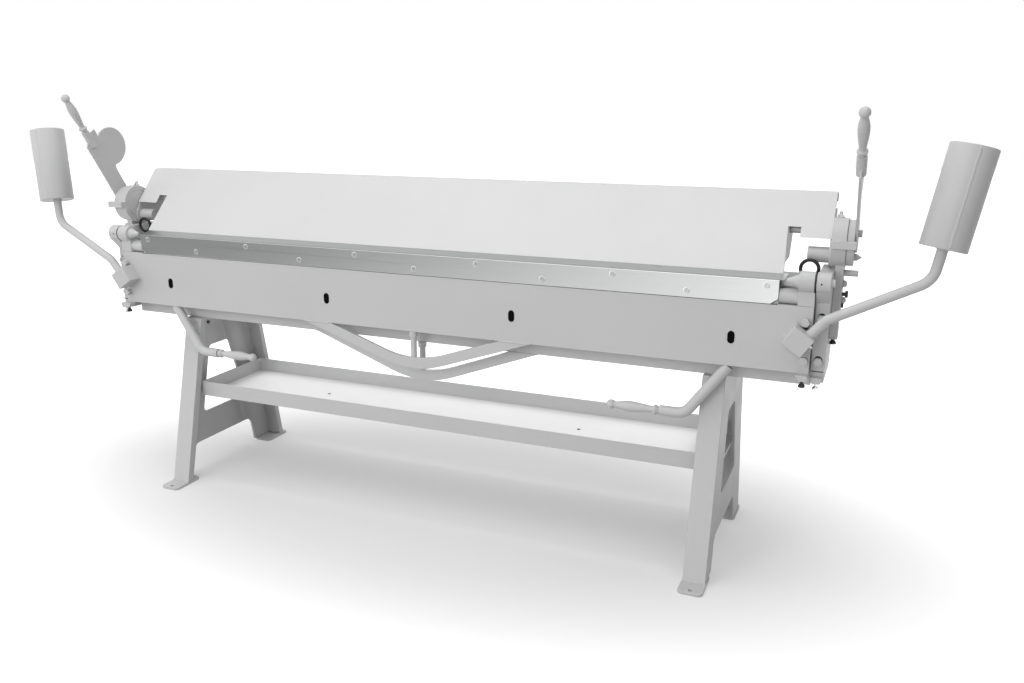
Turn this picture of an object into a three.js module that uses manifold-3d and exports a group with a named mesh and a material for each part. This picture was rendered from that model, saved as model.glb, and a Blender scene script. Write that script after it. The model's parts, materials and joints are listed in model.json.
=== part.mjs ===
// A hand operated sheet metal folding machine, at its real size in millimetres, +Z up.
// X runs along the blades, Y runs from the operator to the back, and the floor is at Z = 0.
// The origin lies on the floor, under the middle of the machine.
import * as THREE from 'three';
import { mergeVertices } from 'three/addons/utils/BufferGeometryUtils.js';
import Module from 'manifold-3d';

const wasm = await Module();
wasm.setup();

// Overall sizes
const working_length = 2060;
const bed_height = 829;
const foot_span = 609;
const foot_to_face = 146;

// Gaps and the overrun of every cut
const seat_gap = 0.3;
const running_gap = 2;
const cut_overrun = 12;

// Foot plates
const foot_length = 115;
const foot_width = 68;
const foot_thickness = 8;
const foot_corner = 14;
const foot_hole_radius = 6;
const foot_hole_inset = 16;

// Leg frames: a web with turned flanges, set in from the blade's ends and the foot plates' edges
const leg_setback = 123;
const leg_width = 62;
const leg_web = 10;
const leg_front_inset = 58;
const leg_front_proud = 16;
const leg_rear_inset = 23;
const leg_rear_proud = 86;
const front_flange = 27;
const rear_flange = 20;
const top_flange = 12;
const front_web_low = 80;
const rear_web_low = 102;
const front_web_high = 116;
const rear_web_sill = 105;
const rear_web_head = 132;
const cross_bottom = 100;
const cross_top = 199;
const window_drop = 120;
const web_corner = 16;

// Tray between the legs
const tray_side_room = 47;
const tray_front_room = 6.60517;
const tray_rear_room = 22.2583;
const tray_bottom = 285;
const tray_lip = 49;
const tray_sheet = 3;
const tray_hole_radius = 4;
const tray_hole_place = 450;
const tray_hole_back = 168;
const ledge_thickness = 12;
const ledge_inset = 50;

// Lower beam, a channel open to the back, and the blade on it
const lower_beam_height = 256.7;
const lower_beam_front = 60;
const lower_beam_rear = 258;
const lower_plate = 12;
const lower_overhang = 27;
const overhang_setback = 5;
const rib_thickness = 10;
const rib_pitch = 420;
const rear_lip = 40;
const lower_blade_width = 92;
const lower_blade_thickness = 22;
const lower_blade_extra = 10;
const blade_gap = 0.5;

// Folding apron
const apron_drop = 233.4;
const apron_plate = 12;
const apron_flange = 45;
const apron_end = 87;
const strip_height = 61;
const strip_thickness = 10;
const strip_proud = 1.5;
const strip_chamfer_x = 19;
const strip_chamfer_z = 14;
const strip_screw_pitch = 200;
const strip_screw_edge = 14.5;
const strip_screw_rows = 28.5;
const strip_screw_radius = 8;
const strip_screw_depth = 3;
const backing_depth = 14;
const backing_height = 68;
const backing_top_step = 21;
const backing_chamfer = 12;
const slot_height = 30;
const slot_width = 11;
const slot_centre_drop = 155;
const slot_inner = 308;
const slot_outer = 920;

// Hinges at the two ends of the fold line
const barrel_radius = 26;
const barrel_length = 40;
const barrel_room = 2.5;
const pin_radius = 10;
const pin_out = 8;
const cone_radius = 17;
const cone_length = 31;
const cone_step = 2;
const cone_tip = 5;
const bracket_depth = 22;
const bracket_drop = 189;
const boss_radius = 19;
const boss_back = 21.5;
const boss_drop = 42;

// Side frames, places measured back from the apron face and down from the bed
const side_frame_thickness = 33;
const side_frame_setback = 22;
const neck_rise = 7;
const side_frame_drop = 258;
const side_frame_shoulder = 178;
const side_frame_waist_drop = 129;
const side_frame_heel = 200;

// Trusses under the two beams
const truss_centre = -14;
const truss_half_span = 380;
const truss_bar = 33;
const truss_depth = 130;
const lower_truss_depth = 140;
const truss_bend = 300;
const post_radius = 6;
const post_flare = 11;
const post_flare_height = 14;

// Adjusting screws and their tabs
const tab_width = 34;
const tab_foot = 20;
const tab_depth = 20;
const tab_drop = 16;
const screw_place = 14;
const screw_radius = 4.5;
const screw_foot_radius = 8.5;
const screw_foot_height = 5;
const screw_length = 16;

// Apron handles: the tube's top, its bend inwards and down, and its run to the grip
const tube_radius = 12.5;
const handle_setback = 112;
const handle_back = 14;
const handle_lean = 107;
const handle_drop = 144.6;
const handle_bend_radius = 55;
const handle_run = 67;
const handle_grip_length = 137;

// Turned grips
const grip_ball_radius = 13;
const grip_belly_radius = 13.5;
const lever_grip_length = 122.5;
const grip_neck_share = 0.62;
const grip_ball_start = THREE.MathUtils.degToRad(42);

// Counterweights on their bent tubes, placed from the blade's end, the apron face and the bed
const block_out = 58;
const block_drop = 142;
const block_along = 55;
const block_across = 59;
const block_depth = 50;
const block_tilt = THREE.MathUtils.degToRad(56);
const socket_offset = 13.7;
const elbow_out = 118;
const elbow_front = 22.5;
const elbow_drop = 86.5;
const elbow_reach = 76;
const weight_low_out = 357;
const weight_low_front = 1;
const weight_low_rise = 100;
const weight_high_out = 399;
const weight_high_back = 29;
const weight_high_rise = 332;
const elbow_low_radius = 45;
const elbow_high_radius = 60;
const weight_radius = 54;
const weight_chamfer = 4;

// Clamping arms with their eccentric rings
const ring_back = 118;
const ring_rise = 86;
const ring_radius = 62;
const ring_inner = 23;
const ring_width = 35;
const eccentric_radius = 46;
const arm_width = 56;
const arm_drop = 162;
const arm_thickness = 20.7;
const arm_foot_thickness = 19.5;
const arm_step_rise = 53;
const arm_corner = 12;
const bar_height = 19;
const bar_lift = 3;
const bar_depth = 20;
const bar_length = 58;
const bar_start = 1;
const stop_pin_radius = 8;
const stop_pin_drop = 77;
const stop_pin_length = 34;
const knob_drop = 132;
const knob_radius = 9;
const knob_neck_radius = 5;
const knob_length = 14;

// Lifting eyes
const eye_room = 1;
const eye_back = 88;
const eye_rise = 41.3;
const eye_radius = 22;
const eye_bar = 4.5;
const eye_stem_radius = 6;

// Upper beam: sloped cover, box core and nose blade
const cover_sheet = 4;
const cover_foot_back = 41;
const cover_foot_rise = 10;
const cover_top_back = 206.5;
const cover_rise = 200.5;
const cover_end = 107;
const cover_crown = 40;
const cover_lip = 26;
const notch_side = 5;
const notch_lean = 8;
const notch_head_rise = 117;
const notch_step_rise = 93;
const notch_step_out = 32;
const core_wall = 8;
const core_floor_rise = 29;
const core_rear_inset = 16.5;
const core_knee_rise = 101;
const core_shoulder_rise = 123;
const core_end = 91;
const upper_blade_width = 81;
const nose_lift = 0.4;

// Hangers and stub shafts that carry the upper beam
const shaft_behind_ring = 12;
const shaft_below_ring = 36;
const shaft_radius = 20;
const shaft_length = 59;
const hanger_thickness = 6;
const hanger_radius = 30;
const hanger_depth = 105;
const hanger_heel_rise = 12;
const hanger_top_drop = 39.5;
const rod_radius = 10;
const rod_inset = 44.5;
const rod_drop = 16;

// Clamping levers, measured from the hub: along the lever and back from its centre line
const left_lever_lean = THREE.MathUtils.degToRad(30.2);
const right_lever_lean = THREE.MathUtils.degToRad(38);
const hub_radius = 58;
const hub_width = 17.5;
const hub_point_back = 7;
const hub_point_drop = 37;
const hub_point_radius = 9;
const hub_point_length = 19;
const lever_plate = 6;
const lever_front = 24;
const lever_rear = 36;
const lever_shoulder_drop = 32;
const lever_tail = 28;
const lobe_drop = 82;
const lobe_back = 62;
const lobe_radius = 63;
const lobe_neck_drop = 74;
const lobe_notch_drop = 33;
const lobe_start = THREE.MathUtils.degToRad(-14);
const lobe_end = THREE.MathUtils.degToRad(200);
const holder_radius = 12;
const holder_length = 56;
const holder_proud = 12;
const holder_to_collar = 13;
const collar_up = 297;
const nut_up = 22;
const nut_back = 12;
const nut_radius = 10;
const nut_height = 8.5;

// Facets on round pieces
const fine_sides = 36;
const round_sides = 24;
const small_sides = 12;
const hex_sides = 6;
const bend_steps = 6;
const truss_steps = 10;
const ball_steps = 7;
const tail_steps = 6;
const lobe_steps = 16;

// Places that follow from the sizes above
const face = -foot_span / 2 + foot_to_face;
const blade_half = working_length / 2;
const apron_half = blade_half + apron_end;
const frame_in = apron_half + running_gap;
const frame_out = frame_in + side_frame_thickness;
const strip_rear = strip_thickness - strip_proud;
const fold_back = strip_rear;
const fold_y = face + fold_back;
const apron_bottom = bed_height - apron_drop;
const strip_bottom = bed_height - strip_height;
const barrel_in = apron_half - barrel_length;
const ring_y = face + ring_back;
const ring_height = bed_height + ring_rise;
const ring_in = frame_in + ring_inner - running_gap;
const ring_out = ring_in + ring_width;
const arm_in = frame_out + seat_gap;
const arm_out = arm_in + arm_thickness;
const hub_in = ring_out + seat_gap;
const hub_out = hub_in + hub_width;
const lever_in = hub_out + seat_gap;
const lever_out = lever_in + lever_plate;
const lower_beam_half = frame_in - seat_gap;
const lower_beam_top = bed_height - lower_blade_thickness - seat_gap;
const lower_beam_bottom = lower_beam_top - lower_beam_height;
const leg_outer = blade_half - leg_setback;
const leg_front_foot = leg_front_inset - foot_to_face;
const leg_front_top = lower_beam_front - leg_front_proud;
const leg_rear_foot = foot_span - foot_to_face - leg_rear_inset;
const leg_rear_top = lower_beam_rear + leg_rear_proud;
const window_top = lower_beam_bottom - window_drop;
const tray_half = leg_outer - leg_web - tray_side_room;
const tray_top = tray_bottom + tray_lip;
const tray_front = legFront(tray_top) + front_flange + tray_front_room;
const tray_rear = legRear(tray_top) - rear_flange - tray_rear_room;
const side_frame_bottom = bed_height - side_frame_drop;
const side_frame_waist = bed_height - side_frame_waist_drop;
const arm_bottom = bed_height - arm_drop;
const eye_place = frame_in - eye_radius - eye_bar - eye_room;
const eye_height = lower_beam_top + eye_rise;
const handle_top = blade_half - handle_setback;
const handle_bend = handle_top - handle_lean;
const handle_tube_end = handle_bend - handle_run;
const handle_bend_height = apron_bottom - handle_drop;
const shaft_y = ring_y + shaft_behind_ring;
const shaft_height = ring_height - shaft_below_ring;
const side_frame_top = shaft_height - hanger_radius - running_gap;
const cover_top_height = bed_height + cover_rise;
const notch_head = bed_height + notch_head_rise;
const notch_step = bed_height + notch_step_rise;
const core_floor = bed_height + core_floor_rise;
const core_knee = bed_height + core_knee_rise;
const core_shoulder = bed_height + core_shoulder_rise;
const core_rear = cover_top_back - core_rear_inset;
const holder_high = collar_up - holder_to_collar;
const holder_low = holder_high - holder_length;
const lever_top = holder_high - holder_proud;
const lever_shoulder = lever_top - lever_shoulder_drop;
const lobe_notch = lever_top - lobe_notch_drop;
const lobe_up = lever_top - lobe_drop;
const lobe_neck = lobe_up - lobe_neck_drop;

// Finishes
const paint = { color: 0xc9cbca, roughness: 0.45, metalness: 0.0 };
const white_paint = { color: 0xe2e3e2, roughness: 0.4, metalness: 0.0 };
const ground_steel = { color: 0xb4b6b6, roughness: 0.3, metalness: 1.0 };
const black_steel = { color: 0x161616, roughness: 0.5, metalness: 0.2 };

const machine = new THREE.Group();

/** Adds one named piece to a group. */
function addPiece(group, name, geometry, finish) {
  const mesh = new THREE.Mesh(geometry, new THREE.MeshStandardMaterial(finish));
  mesh.name = name;
  group.add(mesh);
  return mesh;
}

/** Makes a solid for joining and cutting from a closed geometry. */
function solidOf(geometry) {
  const bare = geometry.clone();
  for (const key of Object.keys(bare.attributes)) {
    if (key !== 'position') bare.deleteAttribute(key);
  }
  const merged = mergeVertices(bare, seat_gap / 100);
  return new wasm.Manifold(new wasm.Mesh({
    numProp: 3,
    vertProperties: new Float32Array(merged.attributes.position.array),
    triVerts: new Uint32Array(merged.index.array),
  }));
}

/** Turns a solid back into a geometry. */
function geometryOf(solid) {
  const { vertProperties, triVerts, numProp } = solid.getMesh();
  const places = new Float32Array((vertProperties.length / numProp) * 3);
  for (let i = 0; i < places.length / 3; i += 1) {
    for (let axis = 0; axis < 3; axis += 1) places[3 * i + axis] = vertProperties[numProp * i + axis];
  }
  const geometry = new THREE.BufferGeometry();
  geometry.setAttribute('position', new THREE.BufferAttribute(places, 3));
  geometry.setIndex(new THREE.BufferAttribute(new Uint32Array(triVerts), 1));
  geometry.computeVertexNormals();
  return geometry;
}

/** Joins geometries into one. */
function join(...geometries) {
  return geometryOf(geometries.map(solidOf).reduce((whole, next) => whole.add(next)));
}

/** Cuts the later geometries out of the first. */
function cut(geometry, ...tools) {
  return geometryOf(tools.map(solidOf).reduce((whole, tool) => whole.subtract(tool), solidOf(geometry)));
}

/** Keeps what two geometries share. */
function common(first, second) {
  return geometryOf(solidOf(first).intersect(solidOf(second)));
}

/** The mirror image across the middle plane, with its faces still outwards. */
function mirrored(geometry) {
  const copy = geometry.index ? geometry.clone() : mergeVertices(geometry.clone());
  copy.applyMatrix4(new THREE.Matrix4().makeScale(-1, 1, 1));
  const index = copy.index.array;
  for (let i = 0; i < index.length; i += 3) [index[i], index[i + 1]] = [index[i + 1], index[i]];
  copy.computeVertexNormals();
  return copy;
}

/** Extrudes an outline of pairs along an axis, from low to high. */
function prism(axis, points, low, high) {
  const shape = new THREE.Shape(points.map(([a, b]) => new THREE.Vector2(a, b)));
  const geometry = new THREE.ExtrudeGeometry(shape, { depth: high - low, bevelEnabled: false });
  const frames = {
    x: [new THREE.Vector3(0, 1, 0), new THREE.Vector3(0, 0, 1), new THREE.Vector3(1, 0, 0)],
    y: [new THREE.Vector3(1, 0, 0), new THREE.Vector3(0, 0, 1), new THREE.Vector3(0, -1, 0)],
    z: [new THREE.Vector3(1, 0, 0), new THREE.Vector3(0, 1, 0), new THREE.Vector3(0, 0, 1)],
  };
  const start = { x: [low, 0, 0], y: [0, high, 0], z: [0, 0, low] };
  geometry.applyMatrix4(new THREE.Matrix4().makeBasis(...frames[axis]).setPosition(...start[axis]));
  return geometry;
}

/** A box between two corners. */
function block(x0, x1, y0, y1, z0, z1) {
  const geometry = new THREE.BoxGeometry(x1 - x0, y1 - y0, z1 - z0);
  geometry.translate((x0 + x1) / 2, (y0 + y1) / 2, (z0 + z1) / 2);
  return geometry;
}

/** A turned piece: pairs of place along the axis and radius, closed on the axis at both ends. */
function turned(profile, origin, direction, sides = round_sides) {
  const outline = [[profile[0][0], 0], ...profile, [profile[profile.length - 1][0], 0]];
  const points = outline.map(([along, radius]) => new THREE.Vector2(radius, along));
  const geometry = new THREE.LatheGeometry(points, sides);
  const up = new THREE.Vector3(0, 1, 0);
  geometry.applyQuaternion(new THREE.Quaternion().setFromUnitVectors(up, direction.clone().normalize()));
  geometry.translate(origin.x, origin.y, origin.z);
  return geometry;
}

/** A round bar along X. */
function barX(radius, low, high, y, z, sides = round_sides) {
  const axis = new THREE.Vector3(1, 0, 0);
  return turned([[0, radius], [high - low, radius]], new THREE.Vector3(low, y, z), axis, sides);
}

/** An outline whose sharp corners are rounded with arcs, each corner as [a, b, radius]. */
function rounded(corners, steps = 5) {
  const points = [];
  corners.forEach(([a, b, radius], i) => {
    const here = new THREE.Vector2(a, b);
    if (!radius) {
      points.push([a, b]);
      return;
    }
    const before = corners[(i + corners.length - 1) % corners.length];
    const after = corners[(i + 1) % corners.length];
    const back = new THREE.Vector2(before[0], before[1]).sub(here).normalize();
    const ahead = new THREE.Vector2(after[0], after[1]).sub(here).normalize();
    const half = Math.acos(THREE.MathUtils.clamp(back.dot(ahead), -1, 1)) / 2;
    const middle = back.clone().add(ahead).normalize();
    const centre = here.clone().addScaledVector(middle, radius / Math.sin(half));
    const from = here.clone().addScaledVector(back, radius / Math.tan(half)).sub(centre);
    const to = here.clone().addScaledVector(ahead, radius / Math.tan(half)).sub(centre);
    let sweep = to.angle() - from.angle();
    if (sweep > Math.PI) sweep -= 2 * Math.PI;
    if (sweep < -Math.PI) sweep += 2 * Math.PI;
    for (let step = 0; step <= steps; step += 1) {
      const angle = from.angle() + (sweep * step) / steps;
      points.push([centre.x + radius * Math.cos(angle), centre.y + radius * Math.sin(angle)]);
    }
  });
  return points;
}

/** A rectangle's outline with rounded corners. */
function roundedBox(a0, a1, b0, b1, radius) {
  return rounded([[a0, b0, radius], [a1, b0, radius], [a1, b1, radius], [a0, b1, radius]]);
}

/** A full circle's outline. */
function circle(a, b, radius, sides = round_sides) {
  const points = [];
  for (let i = 0; i < sides; i += 1) {
    const angle = (2 * Math.PI * i) / sides;
    points.push([a + radius * Math.cos(angle), b + radius * Math.sin(angle)]);
  }
  return points;
}

/** A path of straight runs joined by arcs: each corner has the radius of its own bend. */
class BentPath extends THREE.Curve {
  constructor(corners, radii) {
    super();
    this.parts = [];
    let from = corners[0].clone();
    for (let i = 1; i < corners.length - 1; i += 1) {
      const back = corners[i - 1].clone().sub(corners[i]).normalize();
      const ahead = corners[i + 1].clone().sub(corners[i]).normalize();
      const reach = radii[i - 1] / Math.tan(Math.acos(back.dot(ahead)) / 2);
      const start = corners[i].clone().addScaledVector(back, reach);
      const end = corners[i].clone().addScaledVector(ahead, reach);
      this.parts.push(new THREE.LineCurve3(from, start));
      this.parts.push(new THREE.QuadraticBezierCurve3(start, corners[i].clone(), end));
      from = end;
    }
    this.parts.push(new THREE.LineCurve3(from, corners[corners.length - 1].clone()));
    this.steps = this.parts.map((part) => (part instanceof THREE.LineCurve3 ? 1 : bend_steps));
    this.total = this.steps.reduce((sum, count) => sum + count, 0);
  }

  getPoint(t) {
    let step = THREE.MathUtils.clamp(t, 0, 1) * this.total;
    for (let i = 0; i < this.parts.length; i += 1) {
      const last = i === this.parts.length - 1;
      if (step <= this.steps[i] || last) return this.parts[i].getPoint(step / this.steps[i]);
      step -= this.steps[i];
    }
    return null;
  }

  getPointAt(t) {
    return this.getPoint(t);
  }

  getTangentAt(t) {
    const reach = 1 / (8 * this.total);
    const ahead = this.getPoint(Math.min(t + reach, 1));
    return ahead.sub(this.getPoint(Math.max(t - reach, 0))).normalize();
  }
}

/** A round tube, closed as a solid bar, along a bent path. */
function tubeAlong(corners, radii, radius) {
  const path = new BentPath(corners, radii);
  const shape = new THREE.Shape(circle(0, 0, radius, small_sides).map(([a, b]) => new THREE.Vector2(a, b)));
  return new THREE.ExtrudeGeometry(shape, { steps: path.total, extrudePath: path, bevelEnabled: false });
}

/** Adds a piece on the right end and its mirror image on the left end. */
function addPair(group, name, geometry, finish) {
  addPiece(group, `right_${name}`, geometry, finish);
  addPiece(group, `left_${name}`, mirrored(geometry), finish);
}

/** The leg's front edge at a height. */
function legFront(z) {
  const share = (z - foot_thickness) / (lower_beam_bottom - foot_thickness);
  return face + THREE.MathUtils.lerp(leg_front_foot, leg_front_top, share);
}

/** The leg's rear edge at a height. */
function legRear(z) {
  const share = (z - foot_thickness) / (lower_beam_bottom - foot_thickness);
  return face + THREE.MathUtils.lerp(leg_rear_foot, leg_rear_top, share);
}

/** One leg frame: leaning flanges round a web with an arch and a window. */
function legFrame() {
  const low = foot_thickness + seat_gap;
  const high = lower_beam_bottom - seat_gap;
  const below = low - cut_overrun;
  const ceiling = high - top_flange;
  const inner = leg_outer - leg_width;
  const body = prism('x', [
    [legFront(low), low], [legRear(low), low], [legRear(high), high], [legFront(high), high],
  ], inner, leg_outer);
  const pocket = prism('x', [
    [legFront(below) + front_flange, below], [legRear(below) - rear_flange, below],
    [legRear(ceiling) - rear_flange, ceiling], [legFront(ceiling) + front_flange, ceiling],
  ], inner - cut_overrun, leg_outer - leg_web);
  const arch = prism('x', rounded([
    [legFront(below) + front_web_low, below], [legRear(below) - rear_web_low, below],
    [legRear(cross_bottom) - rear_web_low, cross_bottom, 2 * web_corner],
    [legFront(cross_bottom) + front_web_low, cross_bottom, 2 * web_corner],
  ]), inner - cut_overrun, leg_outer + cut_overrun);
  const opening = prism('x', rounded([
    [legFront(cross_top) + front_web_high, cross_top, web_corner],
    [legRear(cross_top) - rear_web_sill, cross_top, web_corner],
    [legRear(window_top) - rear_web_head, window_top, web_corner],
    [legFront(window_top) + front_web_high, window_top, web_corner],
  ]), inner - cut_overrun, leg_outer + cut_overrun);
  const ledge_top = tray_bottom - seat_gap;
  const ledge = block(inner, leg_outer - leg_web, tray_front + ledge_inset, tray_rear,
    ledge_top - ledge_thickness, ledge_top);
  return join(cut(body, pocket, arch, opening), ledge);
}

/** One foot plate with its anchor hole, from its free edge towards the other foot. */
function footPlate(edge, inward) {
  const far = edge + inward * foot_length;
  const outer = leg_outer + (foot_width - leg_width) / 2;
  const plate = prism('z', roundedBox(outer - foot_width, outer, Math.min(edge, far), Math.max(edge, far),
    foot_corner), 0, foot_thickness);
  const hole = prism('z', circle(outer - foot_width / 2, edge + inward * foot_hole_inset, foot_hole_radius,
    small_sides), -cut_overrun, foot_thickness + cut_overrun);
  return cut(plate, hole);
}

/** The tray: a floor with four turned up lips and two holes. */
function tray() {
  const outside = block(-tray_half, tray_half, tray_front, tray_rear, tray_bottom, tray_top);
  const inside = block(-tray_half + tray_sheet, tray_half - tray_sheet, tray_front + tray_sheet,
    tray_rear - tray_sheet, tray_bottom + tray_sheet, tray_top + cut_overrun);
  const holes = [-1, 1].map((side) => prism('z', circle(side * tray_hole_place,
    tray_front + tray_hole_back, tray_hole_radius, small_sides),
  tray_bottom - cut_overrun, tray_top + cut_overrun));
  return cut(outside, inside, ...holes);
}

/** The lower beam: a channel open to the back, with ribs inside. */
function lowerBeam() {
  const front = face + lower_beam_front;
  const rear = face + lower_beam_rear;
  const top = lower_beam_top;
  const under = top - lower_plate;
  const channel = prism('x', [
    [front, lower_beam_bottom], [rear, lower_beam_bottom],
    [rear, lower_beam_bottom + rear_lip], [rear - lower_plate, lower_beam_bottom + rear_lip],
    [rear - lower_plate, lower_beam_bottom + lower_plate],
    [front + lower_plate, lower_beam_bottom + lower_plate], [front + lower_plate, under],
    [rear - lower_plate, under], [rear - lower_plate, top - rear_lip], [rear, top - rear_lip],
    [rear, top], [front - lower_overhang, top], [front - lower_overhang, under], [front, under],
  ], -lower_beam_half, lower_beam_half);
  const ends = [-1, 1].map((side) => block(
    Math.min(side * (blade_half - overhang_setback), side * (lower_beam_half + cut_overrun)),
    Math.max(side * (blade_half - overhang_setback), side * (lower_beam_half + cut_overrun)),
    front - lower_overhang - cut_overrun, front, under - cut_overrun, top + cut_overrun));
  const ribs = [];
  for (let x = -2 * rib_pitch; x <= 2 * rib_pitch; x += rib_pitch) {
    ribs.push(block(x - rib_thickness / 2, x + rib_thickness / 2, front + lower_plate / 2,
      rear - lower_plate - rib_thickness, lower_beam_bottom + lower_plate / 2, top - lower_plate / 2));
  }
  return join(cut(channel, ...ends), ...ribs);
}

/** The lower blade, undercut at its front edge. */
function lowerBlade() {
  const edge = fold_y + blade_gap;
  const half = blade_half + lower_blade_extra;
  const under = bed_height - lower_blade_thickness;
  return prism('x', [
    [edge, bed_height], [edge + lower_blade_thickness, under],
    [edge + lower_blade_width, under], [edge + lower_blade_width, bed_height],
  ], -half, half);
}

/** A truss bar: a shallow V with a wide bend, hung under a beam. */
function trussBar(top, depth, y0, y1) {
  const slope = depth / truss_half_span;
  const inner_span = truss_half_span - truss_bar / slope;
  const outline = rounded([
    [truss_centre - truss_half_span, top], [truss_centre, top - depth, truss_bend],
    [truss_centre + truss_half_span, top], [truss_centre + inner_span, top],
    [truss_centre, top - inner_span * slope, truss_bend], [truss_centre - inner_span, top],
  ], truss_steps);
  return prism('y', outline, y0, y1);
}

/** The post between a truss bar and its beam, flared at the top. */
function trussPost(top, depth, y) {
  const slope = depth / truss_half_span;
  const bend_rise = truss_bend * (Math.hypot(1, slope) - 1);
  const bottom = top - depth + truss_bar + bend_rise + seat_gap;
  const height = top - bottom;
  return turned([[0, post_radius], [height - post_flare_height, post_radius], [height, post_flare]],
    new THREE.Vector3(truss_centre, y, bottom), new THREE.Vector3(0, 0, 1), small_sides);
}

/** A welded tab that holds an adjusting screw under a bottom edge. */
function screwTab(x, top) {
  return prism('y', [
    [x - tab_width / 2, top], [x - tab_foot / 2, top - tab_drop],
    [x + tab_foot / 2, top - tab_drop], [x + tab_width / 2, top],
  ], face - tab_depth, face + apron_plate / 2);
}

/** An adjusting screw that hangs from a tab, with a wide foot. */
function adjustingScrew(x, y, top) {
  const end = screw_length;
  return turned([
    [0, screw_foot_radius], [screw_foot_height, screw_foot_radius], [screw_foot_height * 2, screw_radius],
    [end, screw_radius],
  ], new THREE.Vector3(x, y, top - end), new THREE.Vector3(0, 0, 1), small_sides);
}

/** Side frame: a thick plate with the outer hinge barrel and a screw tab. */
function sideFrame() {
  const front = face + side_frame_setback;
  const rear = face + lower_beam_rear;
  const neck = strip_bottom + neck_rise;
  const reach = Math.hypot(front - fold_y, bed_height - neck);
  const lean = Math.asin(barrel_radius / reach) + Math.atan2(front - fold_y, bed_height - neck);
  const tangent = Math.sqrt(reach * reach - barrel_radius * barrel_radius);
  const plate = prism('x', rounded([
    [front, side_frame_bottom], [face + side_frame_heel, side_frame_bottom, arm_corner],
    [rear, side_frame_waist, arm_corner], [rear, lower_beam_top, arm_corner],
    [face + side_frame_shoulder, side_frame_top, arm_corner],
    [fold_y, side_frame_top], [fold_y, bed_height],
    [front - tangent * Math.sin(lean), neck + tangent * Math.cos(lean)], [front, neck],
  ]), frame_in, frame_out);
  const barrel = barX(barrel_radius, frame_in, frame_out, fold_y, bed_height);
  const tab = screwTab((frame_in + frame_out) / 2, side_frame_bottom + tab_drop);
  const bore = barX(pin_radius + seat_gap, frame_in - cut_overrun, frame_out + cut_overrun, fold_y,
    bed_height);
  const frame = cut(join(plate, barrel), bore);
  const held = common(tab, block(frame_in, frame_out, face - tab_depth, face + apron_plate,
    side_frame_bottom - tab_drop, side_frame_bottom + tab_drop));
  held.translate(0, side_frame_setback, 0);
  return join(frame, held);
}

/** The fixed clamping arm: a ring for the eccentric, a foot along the side frame, a bar and a pin. */
function clampArm() {
  const arm_front = ring_y - arm_width / 2;
  const arm_rear = ring_y + arm_width / 2;
  const side = prism('x', rounded([
    [arm_front, arm_bottom, arm_corner], [arm_rear, arm_bottom, arm_corner],
    [arm_rear, ring_height], [arm_front, ring_height],
  ]), arm_in, arm_out);
  const step = arm_in + arm_foot_thickness;
  const below_ring = ring_height - ring_radius - arm_corner / 2;
  const thickness = prism('y', [
    [arm_in, arm_bottom], [step, arm_bottom], [step, arm_bottom + arm_step_rise],
    [arm_out, arm_bottom + arm_step_rise + arm_corner], [arm_out, below_ring - arm_corner],
    [ring_out, below_ring], [ring_out, ring_height], [arm_in, ring_height],
  ], arm_front - cut_overrun, arm_rear + cut_overrun);
  const ring = barX(ring_radius, ring_in, ring_out, ring_y, ring_height, fine_sides);
  const bar_back = ring_y - ring_radius + ring_width / 10;
  const bar_low = ring_height + bar_lift - bar_height / 2;
  const bar_high = ring_height + bar_lift + bar_height / 2;
  const ear = block(ring_in + bar_start, ring_out - seat_gap, bar_back - bar_depth,
    ring_y - eccentric_radius, bar_low, bar_high);
  const bar = block(ring_in + bar_start, ring_in + bar_start + bar_length, bar_back - bar_depth,
    ring_y - ring_radius - seat_gap, bar_low, bar_high);
  const stop_pin = barX(stop_pin_radius, (arm_in + arm_out) / 2, arm_out + stop_pin_length, ring_y,
    ring_height - stop_pin_drop, small_sides);
  const bore = barX(eccentric_radius + seat_gap, ring_in - cut_overrun, ring_out + cut_overrun,
    ring_y, ring_height, fine_sides);
  return cut(join(common(side, thickness), ring, ear, bar, stop_pin), bore);
}

/** The lifting eye on the lower beam: a ring on a short stem. */
function liftingEye() {
  const torus = new THREE.TorusGeometry(eye_radius, eye_bar, small_sides / 2, round_sides);
  torus.rotateX(Math.PI / 2);
  torus.translate(eye_place, face + eye_back, eye_height);
  const foot = lower_beam_top + seat_gap;
  const stem = turned([[0, eye_stem_radius], [eye_height - eye_radius - foot, eye_stem_radius]],
    new THREE.Vector3(eye_place, face + eye_back, foot), new THREE.Vector3(0, 0, 1), small_sides);
  return join(torus, stem);
}

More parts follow.
